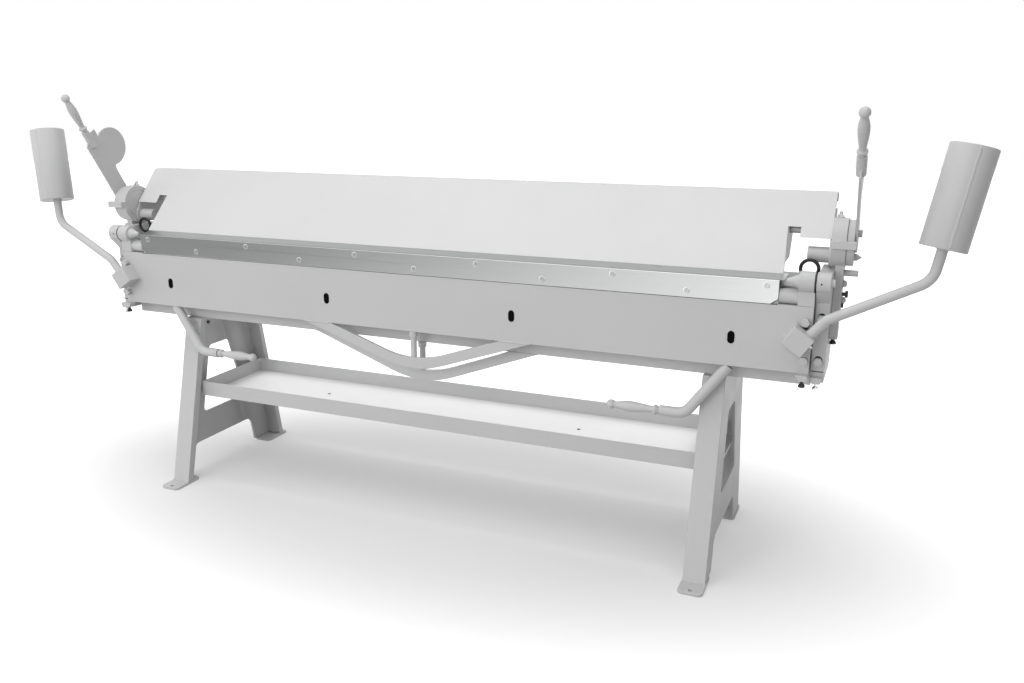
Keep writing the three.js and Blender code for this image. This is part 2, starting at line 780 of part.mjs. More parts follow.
/** The apron: front plate, bottom flange, backing bar behind the strip, slots and screw tabs. */
function apronBeam() {
  const seat = strip_bottom - seat_gap;
  const back = face + strip_rear + seat_gap;
  const top = bed_height - backing_top_step;
  const deep = face + apron_plate + backing_depth;
  const low = top - backing_height;
  const section = prism('x', [
    [face, apron_bottom], [face + apron_flange, apron_bottom],
    [face + apron_flange, apron_bottom + apron_plate], [face + apron_plate, apron_bottom + apron_plate],
    [face + apron_plate, low - backing_depth], [deep, low], [deep, top - backing_chamfer],
    [deep - backing_chamfer, top], [back, top], [back, seat], [face, seat],
  ], -apron_half + seat_gap, apron_half - seat_gap);
  const tools = [];
  for (const side of [-1, 1]) {
    const span = (from, to) => [Math.min(side * from, side * to), Math.max(side * from, side * to)];
    const [a, b] = span(blade_half + seat_gap, apron_half + cut_overrun);
    tools.push(block(a, b, face - cut_overrun, deep + cut_overrun, seat, bed_height));
    const [c, d] = span(barrel_in - seat_gap, apron_half + cut_overrun);
    const floor = apron_bottom + 2 * apron_plate;
    tools.push(block(c, d, face + apron_plate, deep + cut_overrun, floor, bed_height));
    for (const place of [slot_inner, slot_outer]) {
      const z = bed_height - slot_centre_drop;
      tools.push(prism('y', roundedBox(side * place - slot_width / 2, side * place + slot_width / 2,
        z - slot_height / 2, z + slot_height / 2, slot_width / 2 - seat_gap), face - cut_overrun,
      face + apron_plate + cut_overrun));
    }
  }
  const tabs = [-1, 1].map((side) => screwTab(side * (apron_half - screw_place), apron_bottom + seat_gap));
  const inside = block(-apron_half + seat_gap, apron_half - seat_gap, face - 2 * tab_depth, deep,
    apron_bottom - 2 * tab_drop, apron_bottom + apron_plate);
  return join(cut(section, ...tools), ...tabs.map((tab) => common(tab, inside)));
}

/** The screw places on the strip: every pitch along X, on two rows in turn. */
function stripScrews() {
  const count = Math.floor((blade_half - strip_screw_edge) / strip_screw_pitch);
  const places = [];
  for (let i = -count; i <= count; i += 1) {
    const drop = strip_screw_edge + (Math.abs(i) % 2 === 1 ? 0 : strip_screw_rows);
    places.push([i * strip_screw_pitch, bed_height - drop]);
  }
  return places;
}

/** The ground strip on the apron, chamfered at its low corners, with countersinks. */
function apronStrip() {
  const front = face - strip_proud;
  const outline = [
    [-blade_half, bed_height], [-blade_half, strip_bottom + strip_chamfer_z],
    [-blade_half + strip_chamfer_x, strip_bottom], [blade_half - strip_chamfer_x, strip_bottom],
    [blade_half, strip_bottom + strip_chamfer_z], [blade_half, bed_height],
  ];
  const sinks = stripScrews().map(([x, z]) => turned([
    [0, strip_screw_radius / 2], [strip_screw_depth, strip_screw_radius / 2],
    [2 * strip_screw_depth, strip_screw_radius], [3 * strip_screw_depth, strip_screw_radius],
  ], new THREE.Vector3(x, front + 2 * strip_screw_depth, z), new THREE.Vector3(0, -1, 0), small_sides));
  return cut(prism('y', outline, front, face + strip_rear), ...sinks);
}

/** The bracket at the apron's end: barrel, inboard cone, round boss and a foot behind the plate. */
function apronBracket() {
  const high = apron_half - seat_gap;
  const back = face + apron_plate + seat_gap;
  const low = bed_height - bracket_drop;
  const seat = strip_bottom;
  const plate = prism('x', [
    [back, low], [back + bracket_depth, low], [back + bracket_depth, bed_height], [fold_y, bed_height],
    [face, bed_height], [face, seat], [back, seat],
  ], barrel_in, high);
  const barrel = barX(barrel_radius, barrel_in, high, fold_y, bed_height);
  const inboard = new THREE.Vector3(-1, 0, 0);
  const cone = turned([
    [-cone_step, cone_radius], [cone_step, cone_radius], [cone_length, cone_tip],
  ], new THREE.Vector3(barrel_in, fold_y, bed_height), inboard);
  const boss = barX(boss_radius, blade_half + 2 * seat_gap, barrel_in + cone_step, face + boss_back,
    bed_height - boss_drop);
  const bore = barX(pin_radius + seat_gap, barrel_in + cone_step, high + cut_overrun, fold_y, bed_height);
  const room = barX(barrel_radius + seat_gap, high - barrel_room, high + cut_overrun, fold_y, bed_height);
  return cut(join(plate, barrel, cone, boss), bore, room);
}

/** A turned grip along a direction: stem, collar, belly, neck and ball. */
function turnedGrip(collar, direction, length, start) {
  const profile_shares = [
    [-0.06, 0.74], [-0.025, 0.92], [0.025, 0.92], [0.045, 0.63], [0.106, 0.63], [0.2, 0.74], [0.3, 0.86],
    [0.42, 0.97], [0.51, 1], [0.6, 0.97], [0.7, 0.8], [0.77, 0.667],
  ];
  const profile = [[start, grip_belly_radius * grip_neck_share]];
  for (const [along, radius] of profile_shares) profile.push([along * length, radius * grip_belly_radius]);
  const ball = length - grip_ball_radius;
  for (let i = 0; i < ball_steps; i += 1) {
    const angle = THREE.MathUtils.lerp(grip_ball_start, Math.PI, i / ball_steps);
    profile.push([ball - grip_ball_radius * Math.cos(angle), grip_ball_radius * Math.sin(angle)]);
  }
  profile.push([length, seat_gap]);
  return turned(profile, collar, direction, small_sides + 4);
}

/** Leg frames, foot plates and the tray. */
function addStand() {
  addPair(machine, 'leg_frame', legFrame(), paint);
  addPair(machine, 'front_foot_plate', footPlate(-foot_span / 2, 1), paint);
  addPair(machine, 'rear_foot_plate', footPlate(foot_span / 2, -1), paint);
  addPiece(machine, 'tray', tray(), paint);
}

/** The lower beam with its blade, truss, side frames, arms and small parts. */
function addLowerBeam() {
  addPiece(machine, 'lower_beam', lowerBeam(), paint);
  addPiece(machine, 'lower_blade', lowerBlade(), ground_steel);
  const truss_top = lower_beam_bottom - seat_gap;
  const y = face + lower_beam_front;
  addPiece(machine, 'lower_truss', trussBar(truss_top, lower_truss_depth, y, y + lower_plate), paint);
  addPiece(machine, 'lower_truss_post', trussPost(truss_top, lower_truss_depth, y + lower_plate / 2), paint);
  addPair(machine, 'side_frame', sideFrame(), paint);
  addPair(machine, 'clamp_arm', clampArm(), paint);
  addPair(machine, 'hinge_pin', barX(pin_radius, barrel_in + 2 * cone_step, frame_out + pin_out, fold_y,
    bed_height), ground_steel);
  addPair(machine, 'lifting_eye', liftingEye(), black_steel);
  addPair(machine, 'frame_screw', adjustingScrew((frame_in + frame_out) / 2,
    face + side_frame_setback - tab_depth / 2, side_frame_bottom - seat_gap), ground_steel);
  addPair(machine, 'arm_screw', adjustingScrew(arm_in + screw_foot_radius + seat_gap, ring_y,
    arm_bottom - seat_gap), black_steel);
  const knob = turned([
    [0, knob_neck_radius], [knob_length / 2, knob_neck_radius], [knob_length / 2, knob_radius],
    [knob_length, knob_radius],
  ], new THREE.Vector3(arm_out + seat_gap, ring_y, ring_height - knob_drop),
  new THREE.Vector3(1, 0, 0), small_sides);
  addPair(machine, 'arm_knob', knob, black_steel);
}

/** The apron's counterweight with its socket block and bent tube. */
function addCounterweights(apron) {
  const along = new THREE.Vector3(Math.cos(block_tilt), 0, Math.sin(block_tilt));
  const across = new THREE.Vector3(Math.sin(block_tilt), 0, -Math.cos(block_tilt));
  const centre = new THREE.Vector3(blade_half + block_out, 0, bed_height - block_drop);
  const corner = (a, b) => {
    const place = centre.clone().addScaledVector(along, (a * block_along) / 2)
      .addScaledVector(across, (b * block_across) / 2);
    return [place.x, place.z];
  };
  const socket = prism('y', [corner(-1, -1), corner(-1, 1), corner(1, 1), corner(1, -1)],
    face - block_depth, face - seat_gap);
  addPair(apron, 'socket_block', socket, paint);
  const from_fold = (out, back, rise) => new THREE.Vector3(blade_half + out, face + back, bed_height + rise);
  const start = centre.clone().addScaledVector(along, block_along / 2 + seat_gap)
    .addScaledVector(across, socket_offset);
  start.y = face - elbow_front;
  const low = from_fold(weight_low_out, -weight_low_front, weight_low_rise);
  const high = from_fold(weight_high_out, weight_high_back, weight_high_rise);
  const axis = high.clone().sub(low).normalize();
  const end = low.clone().addScaledVector(axis, -seat_gap);
  const elbow_high = low.clone().addScaledVector(axis, -elbow_reach);
  const elbow_low = from_fold(elbow_out, -elbow_front, -elbow_drop);
  const tube = tubeAlong([start, elbow_low, elbow_high, end],
    [elbow_low_radius, elbow_high_radius], tube_radius);
  const seat = cut(tube, prism('y', [corner(-2, -2), corner(-2, 2), corner(1, 2), corner(1, -2)],
    face - 2 * block_depth, face));
  addPair(apron, 'counterweight_tube', seat, paint);
  const length = high.distanceTo(low);
  addPair(apron, 'counterweight', turned([
    [0, weight_radius - weight_chamfer], [weight_chamfer, weight_radius],
    [length - weight_chamfer, weight_radius], [length, weight_radius - weight_chamfer],
  ], low, axis, fine_sides), paint);
}

/** The two bent handles under the apron, each with a turned grip. */
function addHandles(apron) {
  const top = apron_bottom - seat_gap;
  const foot = new THREE.Vector3(handle_top, face + handle_back, apron_bottom);
  const bend = new THREE.Vector3(handle_bend, face, handle_bend_height);
  const lead = foot.clone().sub(bend).normalize();
  const start = foot.clone().addScaledVector(lead, 2 * tube_radius);
  const end = new THREE.Vector3(handle_tube_end, face, handle_bend_height);
  const tube = tubeAlong([start, bend, end], [handle_bend_radius], tube_radius);
  const above = block(handle_bend, handle_top + 4 * tube_radius, face - 2 * tube_radius,
    face + handle_back + 4 * tube_radius, top, top + 6 * tube_radius);
  addPair(apron, 'handle_tube', cut(tube, above), paint);
  const collar = new THREE.Vector3(handle_tube_end - grip_ball_radius, face, handle_bend_height);
  addPair(apron, 'handle_grip', turnedGrip(collar, new THREE.Vector3(-1, 0, 0), handle_grip_length,
    seat_gap - grip_ball_radius), paint);
}

/** Everything that folds with the apron. */
function addApron() {
  const apron = new THREE.Group();
  addPiece(apron, 'apron_beam', apronBeam(), paint);
  addPiece(apron, 'apron_strip', apronStrip(), ground_steel);
  addPair(apron, 'apron_bracket', apronBracket(), paint);
  const truss_top = apron_bottom - seat_gap;
  addPiece(apron, 'apron_truss', trussBar(truss_top, truss_depth, face, face + apron_plate), paint);
  addPiece(apron, 'apron_truss_post', trussPost(truss_top, truss_depth, face + apron_plate), paint);
  addHandles(apron);
  addCounterweights(apron);
  addPair(apron, 'apron_screw', adjustingScrew(apron_half - screw_place, face - tab_depth / 2,
    apron_bottom - tab_drop), black_steel);
  machine.add(apron);
}

/** A point on the cover's outer slope moved inwards by an offset, at a height. */
function slopeAt(offset, z) {
  const foot_z = bed_height + cover_foot_rise;
  const rise = cover_top_height - foot_z;
  const run = cover_top_back - cover_foot_back;
  return face + cover_foot_back + ((z - foot_z) * run) / rise + (offset * Math.hypot(rise, run)) / rise;
}

/** The sloped cover sheet with its two stepped notches. */
function upperCover() {
  const foot_z = bed_height + cover_foot_rise;
  const top = cover_top_height;
  const crown = face + cover_top_back + cover_crown;
  const rise = top - foot_z;
  const run = cover_top_back - cover_foot_back;
  const slant = Math.hypot(rise, run);
  const sheet = prism('x', [
    [face + cover_foot_back, foot_z],
    [face + cover_foot_back + (cover_sheet * rise) / slant, foot_z - (cover_sheet * run) / slant],
    [slopeAt(cover_sheet, top - cover_sheet), top - cover_sheet], [crown - cover_sheet, top - cover_sheet],
    [crown - cover_sheet, top - cover_lip], [crown, top - cover_lip], [crown, top],
    [face + cover_top_back, top],
  ], -(blade_half + cover_end), blade_half + cover_end);
  const low = foot_z - cut_overrun;
  const side = blade_half + notch_side;
  const notch = prism('y', [
    [side, low], [blade_half + cover_end + cut_overrun, low],
    [blade_half + cover_end + cut_overrun, notch_step], [side - notch_lean + notch_step_out, notch_step],
    [side - notch_lean + notch_step_out, notch_head], [side - notch_lean, notch_head],
  ], face, crown + cut_overrun);
  return cut(sheet, notch, mirrored(notch));
}

/** The box core behind the cover, stepped back at its ends and closed there by plates. */
function upperCore() {
  const slack = cover_sheet + seat_gap;
  const top = cover_top_height - slack;
  const rear = face + cover_top_back + cover_crown - slack;
  const outline = [
    [slopeAt(slack, core_floor), core_floor], [face + core_rear, core_floor], [rear, core_knee],
    [rear, top],
    [slopeAt(slack, top), top],
  ];
  const inner = [
    [slopeAt(slack + core_wall, core_floor + core_wall), core_floor + core_wall],
    [face + core_rear - core_wall, core_floor + core_wall], [rear - core_wall, core_knee + core_wall],
    [rear - core_wall, top - core_wall], [slopeAt(slack + core_wall, top - core_wall), top - core_wall],
  ];
  const half = blade_half + core_end;
  const hollow = prism('x', inner, -half - cut_overrun, half + cut_overrun);
  const tube = cut(prism('x', outline, -half, half), hollow);
  const pieces = [];
  const tools = [];
  for (const side of [-1, 1]) {
    const low = Math.min(side * blade_half, side * (half + cut_overrun));
    const high = Math.max(side * blade_half, side * (half + cut_overrun));
    tools.push(block(low, high, face, rear + cut_overrun, core_floor - cut_overrun, core_shoulder));
    const from = side * blade_half;
    const to = side * (blade_half - core_wall);
    pieces.push(common(prism('x', outline, Math.min(from, to), Math.max(from, to)),
      block(-half, half, face, rear + cut_overrun, core_floor - cut_overrun, core_shoulder)));
  }
  return join(cut(tube, ...tools), ...pieces);
}

/** The nose blade that presses the sheet on the lower blade. */
function noseBlade() {
  const foot_z = bed_height + cover_foot_rise;
  const slack = cover_sheet + seat_gap;
  const low = bed_height + nose_lift;
  const rise = cover_top_height - foot_z;
  const run = cover_top_back - cover_foot_back;
  const slant = Math.hypot(rise, run);
  const step = (seat_gap * rise) / slant;
  const top = core_floor - seat_gap;
  const seat_z = foot_z - step - (slack * run) / slant;
  const edge = fold_y + blade_gap;
  return prism('x', [
    [edge, low], [edge + upper_blade_width, low], [edge + upper_blade_width, top],
    [slopeAt(slack, top), top], [slopeAt(slack, seat_z), seat_z],
    [face + cover_foot_back - (seat_gap * run) / slant, foot_z - step],
  ], -blade_half, blade_half);
}

/** The hanger plate at the beam's end, with the rod that joins it to the core. */
function beamHanger() {
  const out = ring_in - 2 * seat_gap;
  const low = out - hanger_thickness;
  const y = shaft_y;
  const hanger_top = cover_top_height - hanger_top_drop;
  const front = slopeAt(cover_sheet + seat_gap, notch_step);
  const plate = prism('x', [
    [y - hanger_radius, shaft_height], [y, shaft_height - hanger_radius],
    [y + hanger_depth, shaft_height - hanger_radius + hanger_heel_rise],
    [y + hanger_depth, shaft_height + hanger_radius],
    [face + cover_top_back, hanger_top - hanger_radius],
    [face + cover_top_back, hanger_top], [slopeAt(2 * cover_sheet, hanger_top), hanger_top],
    [front, notch_step],
  ], low, out);
  const eye = barX(hanger_radius, low, out, y, shaft_height);
  const rod = barX(rod_radius, blade_half + seat_gap, low + hanger_thickness / 2,
    face + cover_top_back - rod_inset, core_shoulder - rod_drop, small_sides);
  const bore = barX(shaft_radius + seat_gap, low - cut_overrun, out + cut_overrun, y, shaft_height);
  return cut(join(plate, eye, rod), bore);
}

/** The sloped cover, the core, the nose and the parts that carry them. */
function addUpperBeam() {
  const beam = new THREE.Group();
  addPiece(beam, 'upper_cover', upperCover(), white_paint);
  addPiece(beam, 'upper_core', upperCore(), paint);
  addPiece(beam, 'nose_blade', noseBlade(), ground_steel);
  addPair(beam, 'beam_hanger', beamHanger(), paint);
  addPair(beam, 'beam_shaft', barX(shaft_radius, ring_in - seat_gap - shaft_length, ring_in - seat_gap,
    shaft_y, shaft_height), paint);
  machine.add(beam);
}

/** The lever's plate outline: straight arm, round lobe at the back, notch and tab. */
function leverOutline() {
  const points = [];
  for (let i = 0; i <= tail_steps; i += 1) {
    const angle = Math.PI + (Math.PI * i) / tail_steps;
    const half = (lever_front + lever_rear) / 2;
    points.push([(lever_rear - lever_front) / 2 + half * Math.cos(angle), lever_tail * Math.sin(angle)]);
  }
  points.push([lever_rear, lobe_neck]);
  for (let i = 0; i <= lobe_steps; i += 1) {
    const angle = THREE.MathUtils.lerp(lobe_end, lobe_start, i / lobe_steps);
    points.push([lobe_back + lobe_radius * Math.sin(angle), lobe_up + lobe_radius * Math.cos(angle)]);
  }
  points.push([lever_rear, lobe_notch], [lever_rear, lever_top], [holder_radius + seat_gap, lever_top]);
  points.push([-lever_front, lever_shoulder]);
  return points;
}

/** One lever, built upright on its hub and then leaned forward; side is 1 for the right end. */
function addLever(side, lean) {
  const name = side > 0 ? 'right' : 'left';
  const flip = (geometry) => (side > 0 ? geometry : mirrored(geometry));
  const lever = new THREE.Group();
  lever.position.set(0, ring_y, ring_height);
  lever.rotation.x = lean;
  const up = new THREE.Vector3(0, 0, 1);
  const mid = (lever_in + lever_out) / 2;
  const plate = prism('x', leverOutline(), lever_in, lever_out);
  const holder = turned([[0, holder_radius], [holder_high - holder_low, holder_radius]],
    new THREE.Vector3(mid, 0, holder_low), up, small_sides);
  addPiece(lever, `${name}_lever_plate`, flip(join(plate, holder)), paint);
  addPiece(lever, `${name}_lever_grip`, flip(turnedGrip(new THREE.Vector3(mid, 0, collar_up), up,
    lever_grip_length, holder_high - collar_up + seat_gap)), paint);
  const nut = turned([[0, nut_radius], [nut_height, nut_radius]],
    new THREE.Vector3(lever_out + seat_gap, nut_back, nut_up), new THREE.Vector3(1, 0, 0), hex_sides);
  addPiece(lever, `${name}_lever_nut`, flip(nut), ground_steel);
  machine.add(lever);

  const disc = barX(eccentric_radius, ring_in, hub_in + hub_width / 2, ring_y, ring_height, fine_sides);
  const hub = barX(hub_radius, hub_in, hub_out, ring_y, ring_height, fine_sides);
  const point = turned([
    [-hub_width / 2, hub_point_radius], [hub_point_length / 3, hub_point_radius],
    [hub_point_length, seat_gap],
  ], new THREE.Vector3(hub_out, ring_y + hub_point_back, ring_height - hub_point_drop),
  new THREE.Vector3(1, 0, 0), small_sides);
  addPiece(machine, `${name}_eccentric`, flip(join(disc, hub, point)), paint);
}

addStand();
addLowerBeam();
addApron();
addUpperBeam();
addLever(1, right_lever_lean);
addLever(-1, left_lever_lean);

export default machine;
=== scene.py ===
"""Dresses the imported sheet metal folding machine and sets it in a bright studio.

The machine stands in the frame's own axes, in metres: +X along the blades to the right end, +Y from
the operator to the back, +Z up, with the origin on the floor under its middle.
"""

import json
import logging
import math
from dataclasses import dataclass, field
from enum import Enum

import bmesh
import bpy
from mathutils import Matrix, Vector


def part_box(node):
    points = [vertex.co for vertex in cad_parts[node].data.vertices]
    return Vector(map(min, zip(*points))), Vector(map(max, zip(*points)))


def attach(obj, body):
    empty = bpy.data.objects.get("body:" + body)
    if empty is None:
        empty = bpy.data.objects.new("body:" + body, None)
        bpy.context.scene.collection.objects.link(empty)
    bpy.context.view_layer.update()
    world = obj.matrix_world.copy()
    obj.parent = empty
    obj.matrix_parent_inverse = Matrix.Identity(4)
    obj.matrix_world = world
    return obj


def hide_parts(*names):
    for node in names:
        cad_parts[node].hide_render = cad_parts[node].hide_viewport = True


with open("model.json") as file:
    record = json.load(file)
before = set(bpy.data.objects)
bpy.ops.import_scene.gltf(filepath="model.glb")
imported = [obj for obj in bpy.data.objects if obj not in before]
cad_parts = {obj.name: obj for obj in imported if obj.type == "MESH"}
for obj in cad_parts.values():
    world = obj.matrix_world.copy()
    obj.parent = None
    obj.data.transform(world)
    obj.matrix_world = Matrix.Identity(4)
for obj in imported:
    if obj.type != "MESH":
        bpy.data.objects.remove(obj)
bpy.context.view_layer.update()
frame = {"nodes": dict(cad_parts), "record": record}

log = logging.getLogger("folding_machine")

Material, Mesh, Object = bpy.types.Material, bpy.types.Mesh, bpy.types.Object
Node, NodeTree, Socket = bpy.types.Node, bpy.types.NodeTree, bpy.types.NodeSocket
Triple = tuple[float, float, float]
Pairs = list[tuple[float, float]]
Inputs = dict[str | int, object]

MERGE_DISTANCE = 0.00002
FLAT_ANGLE = math.radians(0.6)
CREASE_ANGLE = math.radians(31)
RAMP_ENDS = (0.3, 0.7)
LEVEL_WEIGHT = 100
SEAT = 0.0003
TAB_DEPTH = 0.02
UP = Vector((0, 0, 1))
FORWARD = Vector((0, -1, 0))


class Body(Enum):
    """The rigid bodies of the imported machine."""

    FRAME = "frame"
    APRON = "apron"
    UPPER_BEAM = "upper_beam"
    RIGHT_LEVER = "right_lever"
    LEFT_LEVER = "left_lever"


class Side(Enum):
    """The two ends of the machine, with the sign of X there."""

    RIGHT = 1
    LEFT = -1

    @property
    def outward(self) -> Vector:
        """The direction away from the machine's middle."""
        return Vector((self.value, 0, 0))

    def named(self, part: str) -> str:
        """The name of this end's node or piece."""
        return f"{self.name.lower()}_{part}"

    def mirror(self, point: Vector) -> Vector:
        """A point of the right end moved to its place on this end."""
        return Vector((point.x * self.value, point.y, point.z))


class Slot(Enum):
    """The record's material slots."""

    FRAME_PAINT = "frame_paint"
    COVER_PAINT = "cover_paint"
    GROUND_STEEL = "ground_steel"
    BLACK_STEEL = "black_steel"


def feed(node: Node, inputs: Inputs) -> Node:
    """Fills a node's inputs.

    Args:
        node: the node.
        inputs: for each input, the socket that feeds it or its plain value.

    Returns:
        The same node.
    """
    for key, value in inputs.items():
        if isinstance(value, Socket):
            node.id_data.links.new(value, node.inputs[key])
        else:
            node.inputs[key].default_value = value
    return node


def add_node(
    tree: NodeTree,
    kind: str,
    inputs: Inputs | None = None,
    **settings: object,
) -> Node:
    """Adds a node to a tree.

    Args:
        tree: the tree.
        kind: the node's type name.
        inputs: for each input, the socket that feeds it or its plain value.
        **settings: the node's own properties.

    Returns:
        The new node.
    """
    node = tree.nodes.new(kind)
    for key, value in settings.items():
        setattr(node, key, value)
    return feed(node, inputs or {})


def new_material(name: str) -> tuple[Material, Node]:
    """Makes an empty principled material.

    Args:
        name: the material's name.

    Returns:
        The material and its principled shader node.
    """
    material = bpy.data.materials.new(name)
    material.use_nodes = True
    return material, material.node_tree.nodes["Principled BSDF"]


def ramp_from(
    tree: NodeTree, factor: Socket, low: Triple, high: Triple
) -> Socket:
    """Turns a noise into a colour between two colours.

    Args:
        tree: the material's tree.
        factor: the noise's socket.
        low: the colour at the noise's low end.
        high: the colour at the noise's high end.

    Returns:
        The ramp's colour socket.
    """
    ramp = add_node(tree, "ShaderNodeValToRGB", {"Fac": factor})
    for element, position, colour in zip(ramp.color_ramp.elements, RAMP_ENDS, (low, high)):
        element.position = position
        element.color = (*colour, 1.0)
    return ramp.outputs["Color"]


@dataclass(frozen=True)
class Grain:
    """A noise on a piece's own coordinates: its cells per metre and its detail."""

    cells: Triple
    detail: float

    def on(self, tree: NodeTree) -> Socket:
        """Adds the noise to a material.

        Args:
            tree: the material's tree.

        Returns:
            The noise's factor socket.
        """
        place = add_node(tree, "ShaderNodeTexCoord").outputs["Object"]
        mapping = add_node(tree, "ShaderNodeMapping", {"Vector": place, "Scale": self.cells})
        inputs = {"Vector": mapping.outputs["Vector"], "Scale": 1.0, "Detail": self.detail}
        return add_node(tree, "ShaderNodeTexNoise", inputs).outputs["Fac"]


@dataclass(frozen=True)
class PlainFinish:
    """A finish of one colour with a little grain, as small trim has it."""

    name: str
    slot: Slot
    colour: Triple
    roughness: float = 0.45
    metallic: float = 0.0
    specular: float = 0.5
    tone: Grain = Grain((600.0,) * 3, 2.0)
    tone_spread: float = 0.1
    relief: Grain | None = None
    relief_strength: float = 0.15
    relief_depth: float = 0.0001
    gloss: Grain | None = None
    gloss_change: tuple[float, float] = (0.0, 0.0)

    def shade(self, gain: float) -> Triple:
        """The finish's colour made lighter or darker by a gain."""
        return tuple(min(channel * gain, 1.0) for channel in self.colour)

    def make(self) -> Material:
        """Builds the finish's material.

        Returns:
            The material. Its relief follows the tone's noise unless it has its own.
        """
        material, shader = new_material(self.name)
        tree = material.node_tree
        low, high = self.shade(1 - self.tone_spread), self.shade(1 + self.tone_spread)
        bump = add_node(tree, "ShaderNodeBump", {
            "Height": (self.relief or self.tone).on(tree),
            "Strength": self.relief_strength,
            "Distance": self.relief_depth,
        })
        feed(shader, {
            "Base Color": ramp_from(tree, self.tone.on(tree), low, high),
            "Metallic": self.metallic,
            "Specular IOR Level": self.specular,
            "Roughness": self.roughness,
            "Normal": bump.outputs["Normal"],
        })
        if self.gloss is not None:
            low, high = ((self.roughness + change,) * 3 for change in self.gloss_change)
            feed(shader, {"Roughness": ramp_from(tree, self.gloss.on(tree), low, high)})
        return material


@dataclass(frozen=True)
class SprayedPaint(PlainFinish):
    """Sprayed machine paint with a fine orange peel and a faint drift of tone."""

    roughness: float = 0.42
    tone: Grain = Grain((3.0,) * 3, 3.0)
    tone_spread: float = 0.02
    relief: Grain | None = Grain((420.0,) * 3, 1.5)
    relief_strength: float = 0.25
    relief_depth: float = 0.00025
    gloss: Grain | None = Grain((14.0,) * 3, 4.0)
    gloss_change: tuple[float, float] = (-0.05, 0.06)


@dataclass(frozen=True)
class GroundSteel(PlainFinish):
    """Bare steel ground along X, with fine streaks."""

    roughness: float = 0.24
    metallic: float = 1.0
    tone: Grain = Grain((5.0, 900.0, 900.0), 4.0)
    tone_spread: float = 0.03
    relief_strength: float = 0.3
    relief_depth: float = 0.000003
    gloss: Grain | None = Grain((3.0, 40.0, 40.0), 3.0)
    gloss_change: tuple[float, float] = (-0.01, 0.015)


@dataclass
class PaintShop:
    """Keeps each finish's material, made once."""

    frame_paint: SprayedPaint = SprayedPaint(
        "light_grey_paint", Slot.FRAME_PAINT, (0.535, 0.538, 0.536)
    )
    cover_paint: SprayedPaint = SprayedPaint(
        "off_white_paint", Slot.COVER_PAINT, (0.605, 0.608, 0.606), roughness=0.38
    )
    ground_steel: GroundSteel = GroundSteel(
        "ground_steel", Slot.GROUND_STEEL, (0.74, 0.75, 0.75)
    )
    # Painted shade: a darker copy of the ground steel for the nose blade, standing for the shade
    # under the cover and the dark it reflects.
    shaded_nose_steel: GroundSteel = GroundSteel(
        "hardened_steel", Slot.GROUND_STEEL, (0.43, 0.44, 0.44), roughness=0.28
    )
    dull_steel: PlainFinish = PlainFinish(
        "dull_steel", Slot.GROUND_STEEL, (0.6, 0.605, 0.6), roughness=0.5, metallic=0.35
    )
    zinc: PlainFinish = PlainFinish(
        "zinc_fastener", Slot.GROUND_STEEL, (0.6, 0.61, 0.62), roughness=0.36, metallic=1.0
    )
    # Black oxide on the real dark parts; the same black is also painted shade on the pieces set in
    # holes, in the hinge crevices, above the frames' tabs, under the strip and under the upper
    # bracket bolt heads.
    black_steel: PlainFinish = PlainFinish("black_oxide", Slot.BLACK_STEEL, (0.012, 0.012, 0.013))
    # Painted shade: matt black for the pills that stand for the dark inside the apron's slots.
    slot_shade_finish: PlainFinish = PlainFinish(
        "matt_black", Slot.BLACK_STEEL, (0.004, 0.004, 0.004), roughness=0.9, specular=0.05
    )
    made: dict[str, Material] = field(default_factory=dict)

    def material(self, finish: PlainFinish) -> Material:
        """The one material of a finish."""
        if finish.name not in self.made:
            self.made[finish.name] = finish.make()
        return self.made[finish.name]

    def of_slot(self, slot: str) -> PlainFinish:
        """The usual finish of a slot of the record."""
        usual = (self.frame_paint, self.cover_paint, self.ground_steel, self.black_steel)
        return next(finish for finish in usual if finish.slot.value == slot)


def link(name: str, data: bpy.types.ID) -> Object:
    """Puts a mesh, lamp or camera into the scene as an object at the origin."""
    obj = bpy.data.objects.new(name, data)
    bpy.context.scene.collection.objects.link(obj)
    return obj


def smooth_by_crease(mesh: Mesh, angle: float = CREASE_ANGLE) -> Mesh:
    """Shades a mesh smooth, with the edges over an angle kept sharp."""
    mesh.shade_smooth()
    mesh.set_sharp_from_angle(angle=angle)
    return mesh


def mesh_from(
    name: str, shape: bmesh.types.BMesh, crease: float = CREASE_ANGLE
) -> Mesh:
    """Makes a mesh from a shape under construction.

    Args:
        name: the mesh's name.
        shape: the shape, which is freed.
        crease: the angle over which an edge stays sharp.

    Returns:
        The new mesh.
    """
    mesh = bpy.data.meshes.new(name)
    shape.to_mesh(mesh)
    shape.free()
    return smooth_by_crease(mesh, crease)


def lofted(
    name: str,
    rings: list[list[Vector]],
    looped: bool = False,
    crease: float = CREASE_ANGLE,
) -> Mesh:
    """Skins rings of points into a closed solid.

    Args:
        name: the mesh's name.
        rings: the points of each ring, as many in each.
        looped: whether the last ring joins the first, in place of a face on each end.
        crease: the angle over which an edge stays sharp.

    Returns:
        The new mesh.
    """
    shape = bmesh.new()
    corners = [[shape.verts.new(point) for point in ring] for ring in rings]
    for low, high in zip(corners, corners[1:] + corners[:1] if looped else corners[1:]):
        for i in range(len(low)):
            j = (i + 1) % len(low)
            shape.faces.new((low[i], low[j], high[j], high[i]))
    if not looped:
        shape.faces.new(tuple(reversed(corners[0])))
        shape.faces.new(tuple(corners[-1]))
    bmesh.ops.recalc_face_normals(shape, faces=shape.faces)
    return mesh_from(name, shape, crease)


def round_angles(steps: int) -> list[float]:
    """Angles in even steps once round."""
    return [2 * math.pi * i / steps for i in range(steps)]


def turning_matrix(origin: Vector, direction: Vector) -> Matrix:
    """The place and turn that lays a local +Z axis on a direction."""
    turn = UP.rotation_difference(direction.normalized())
    return Matrix.Translation(origin) @ turn.to_matrix().to_4x4()


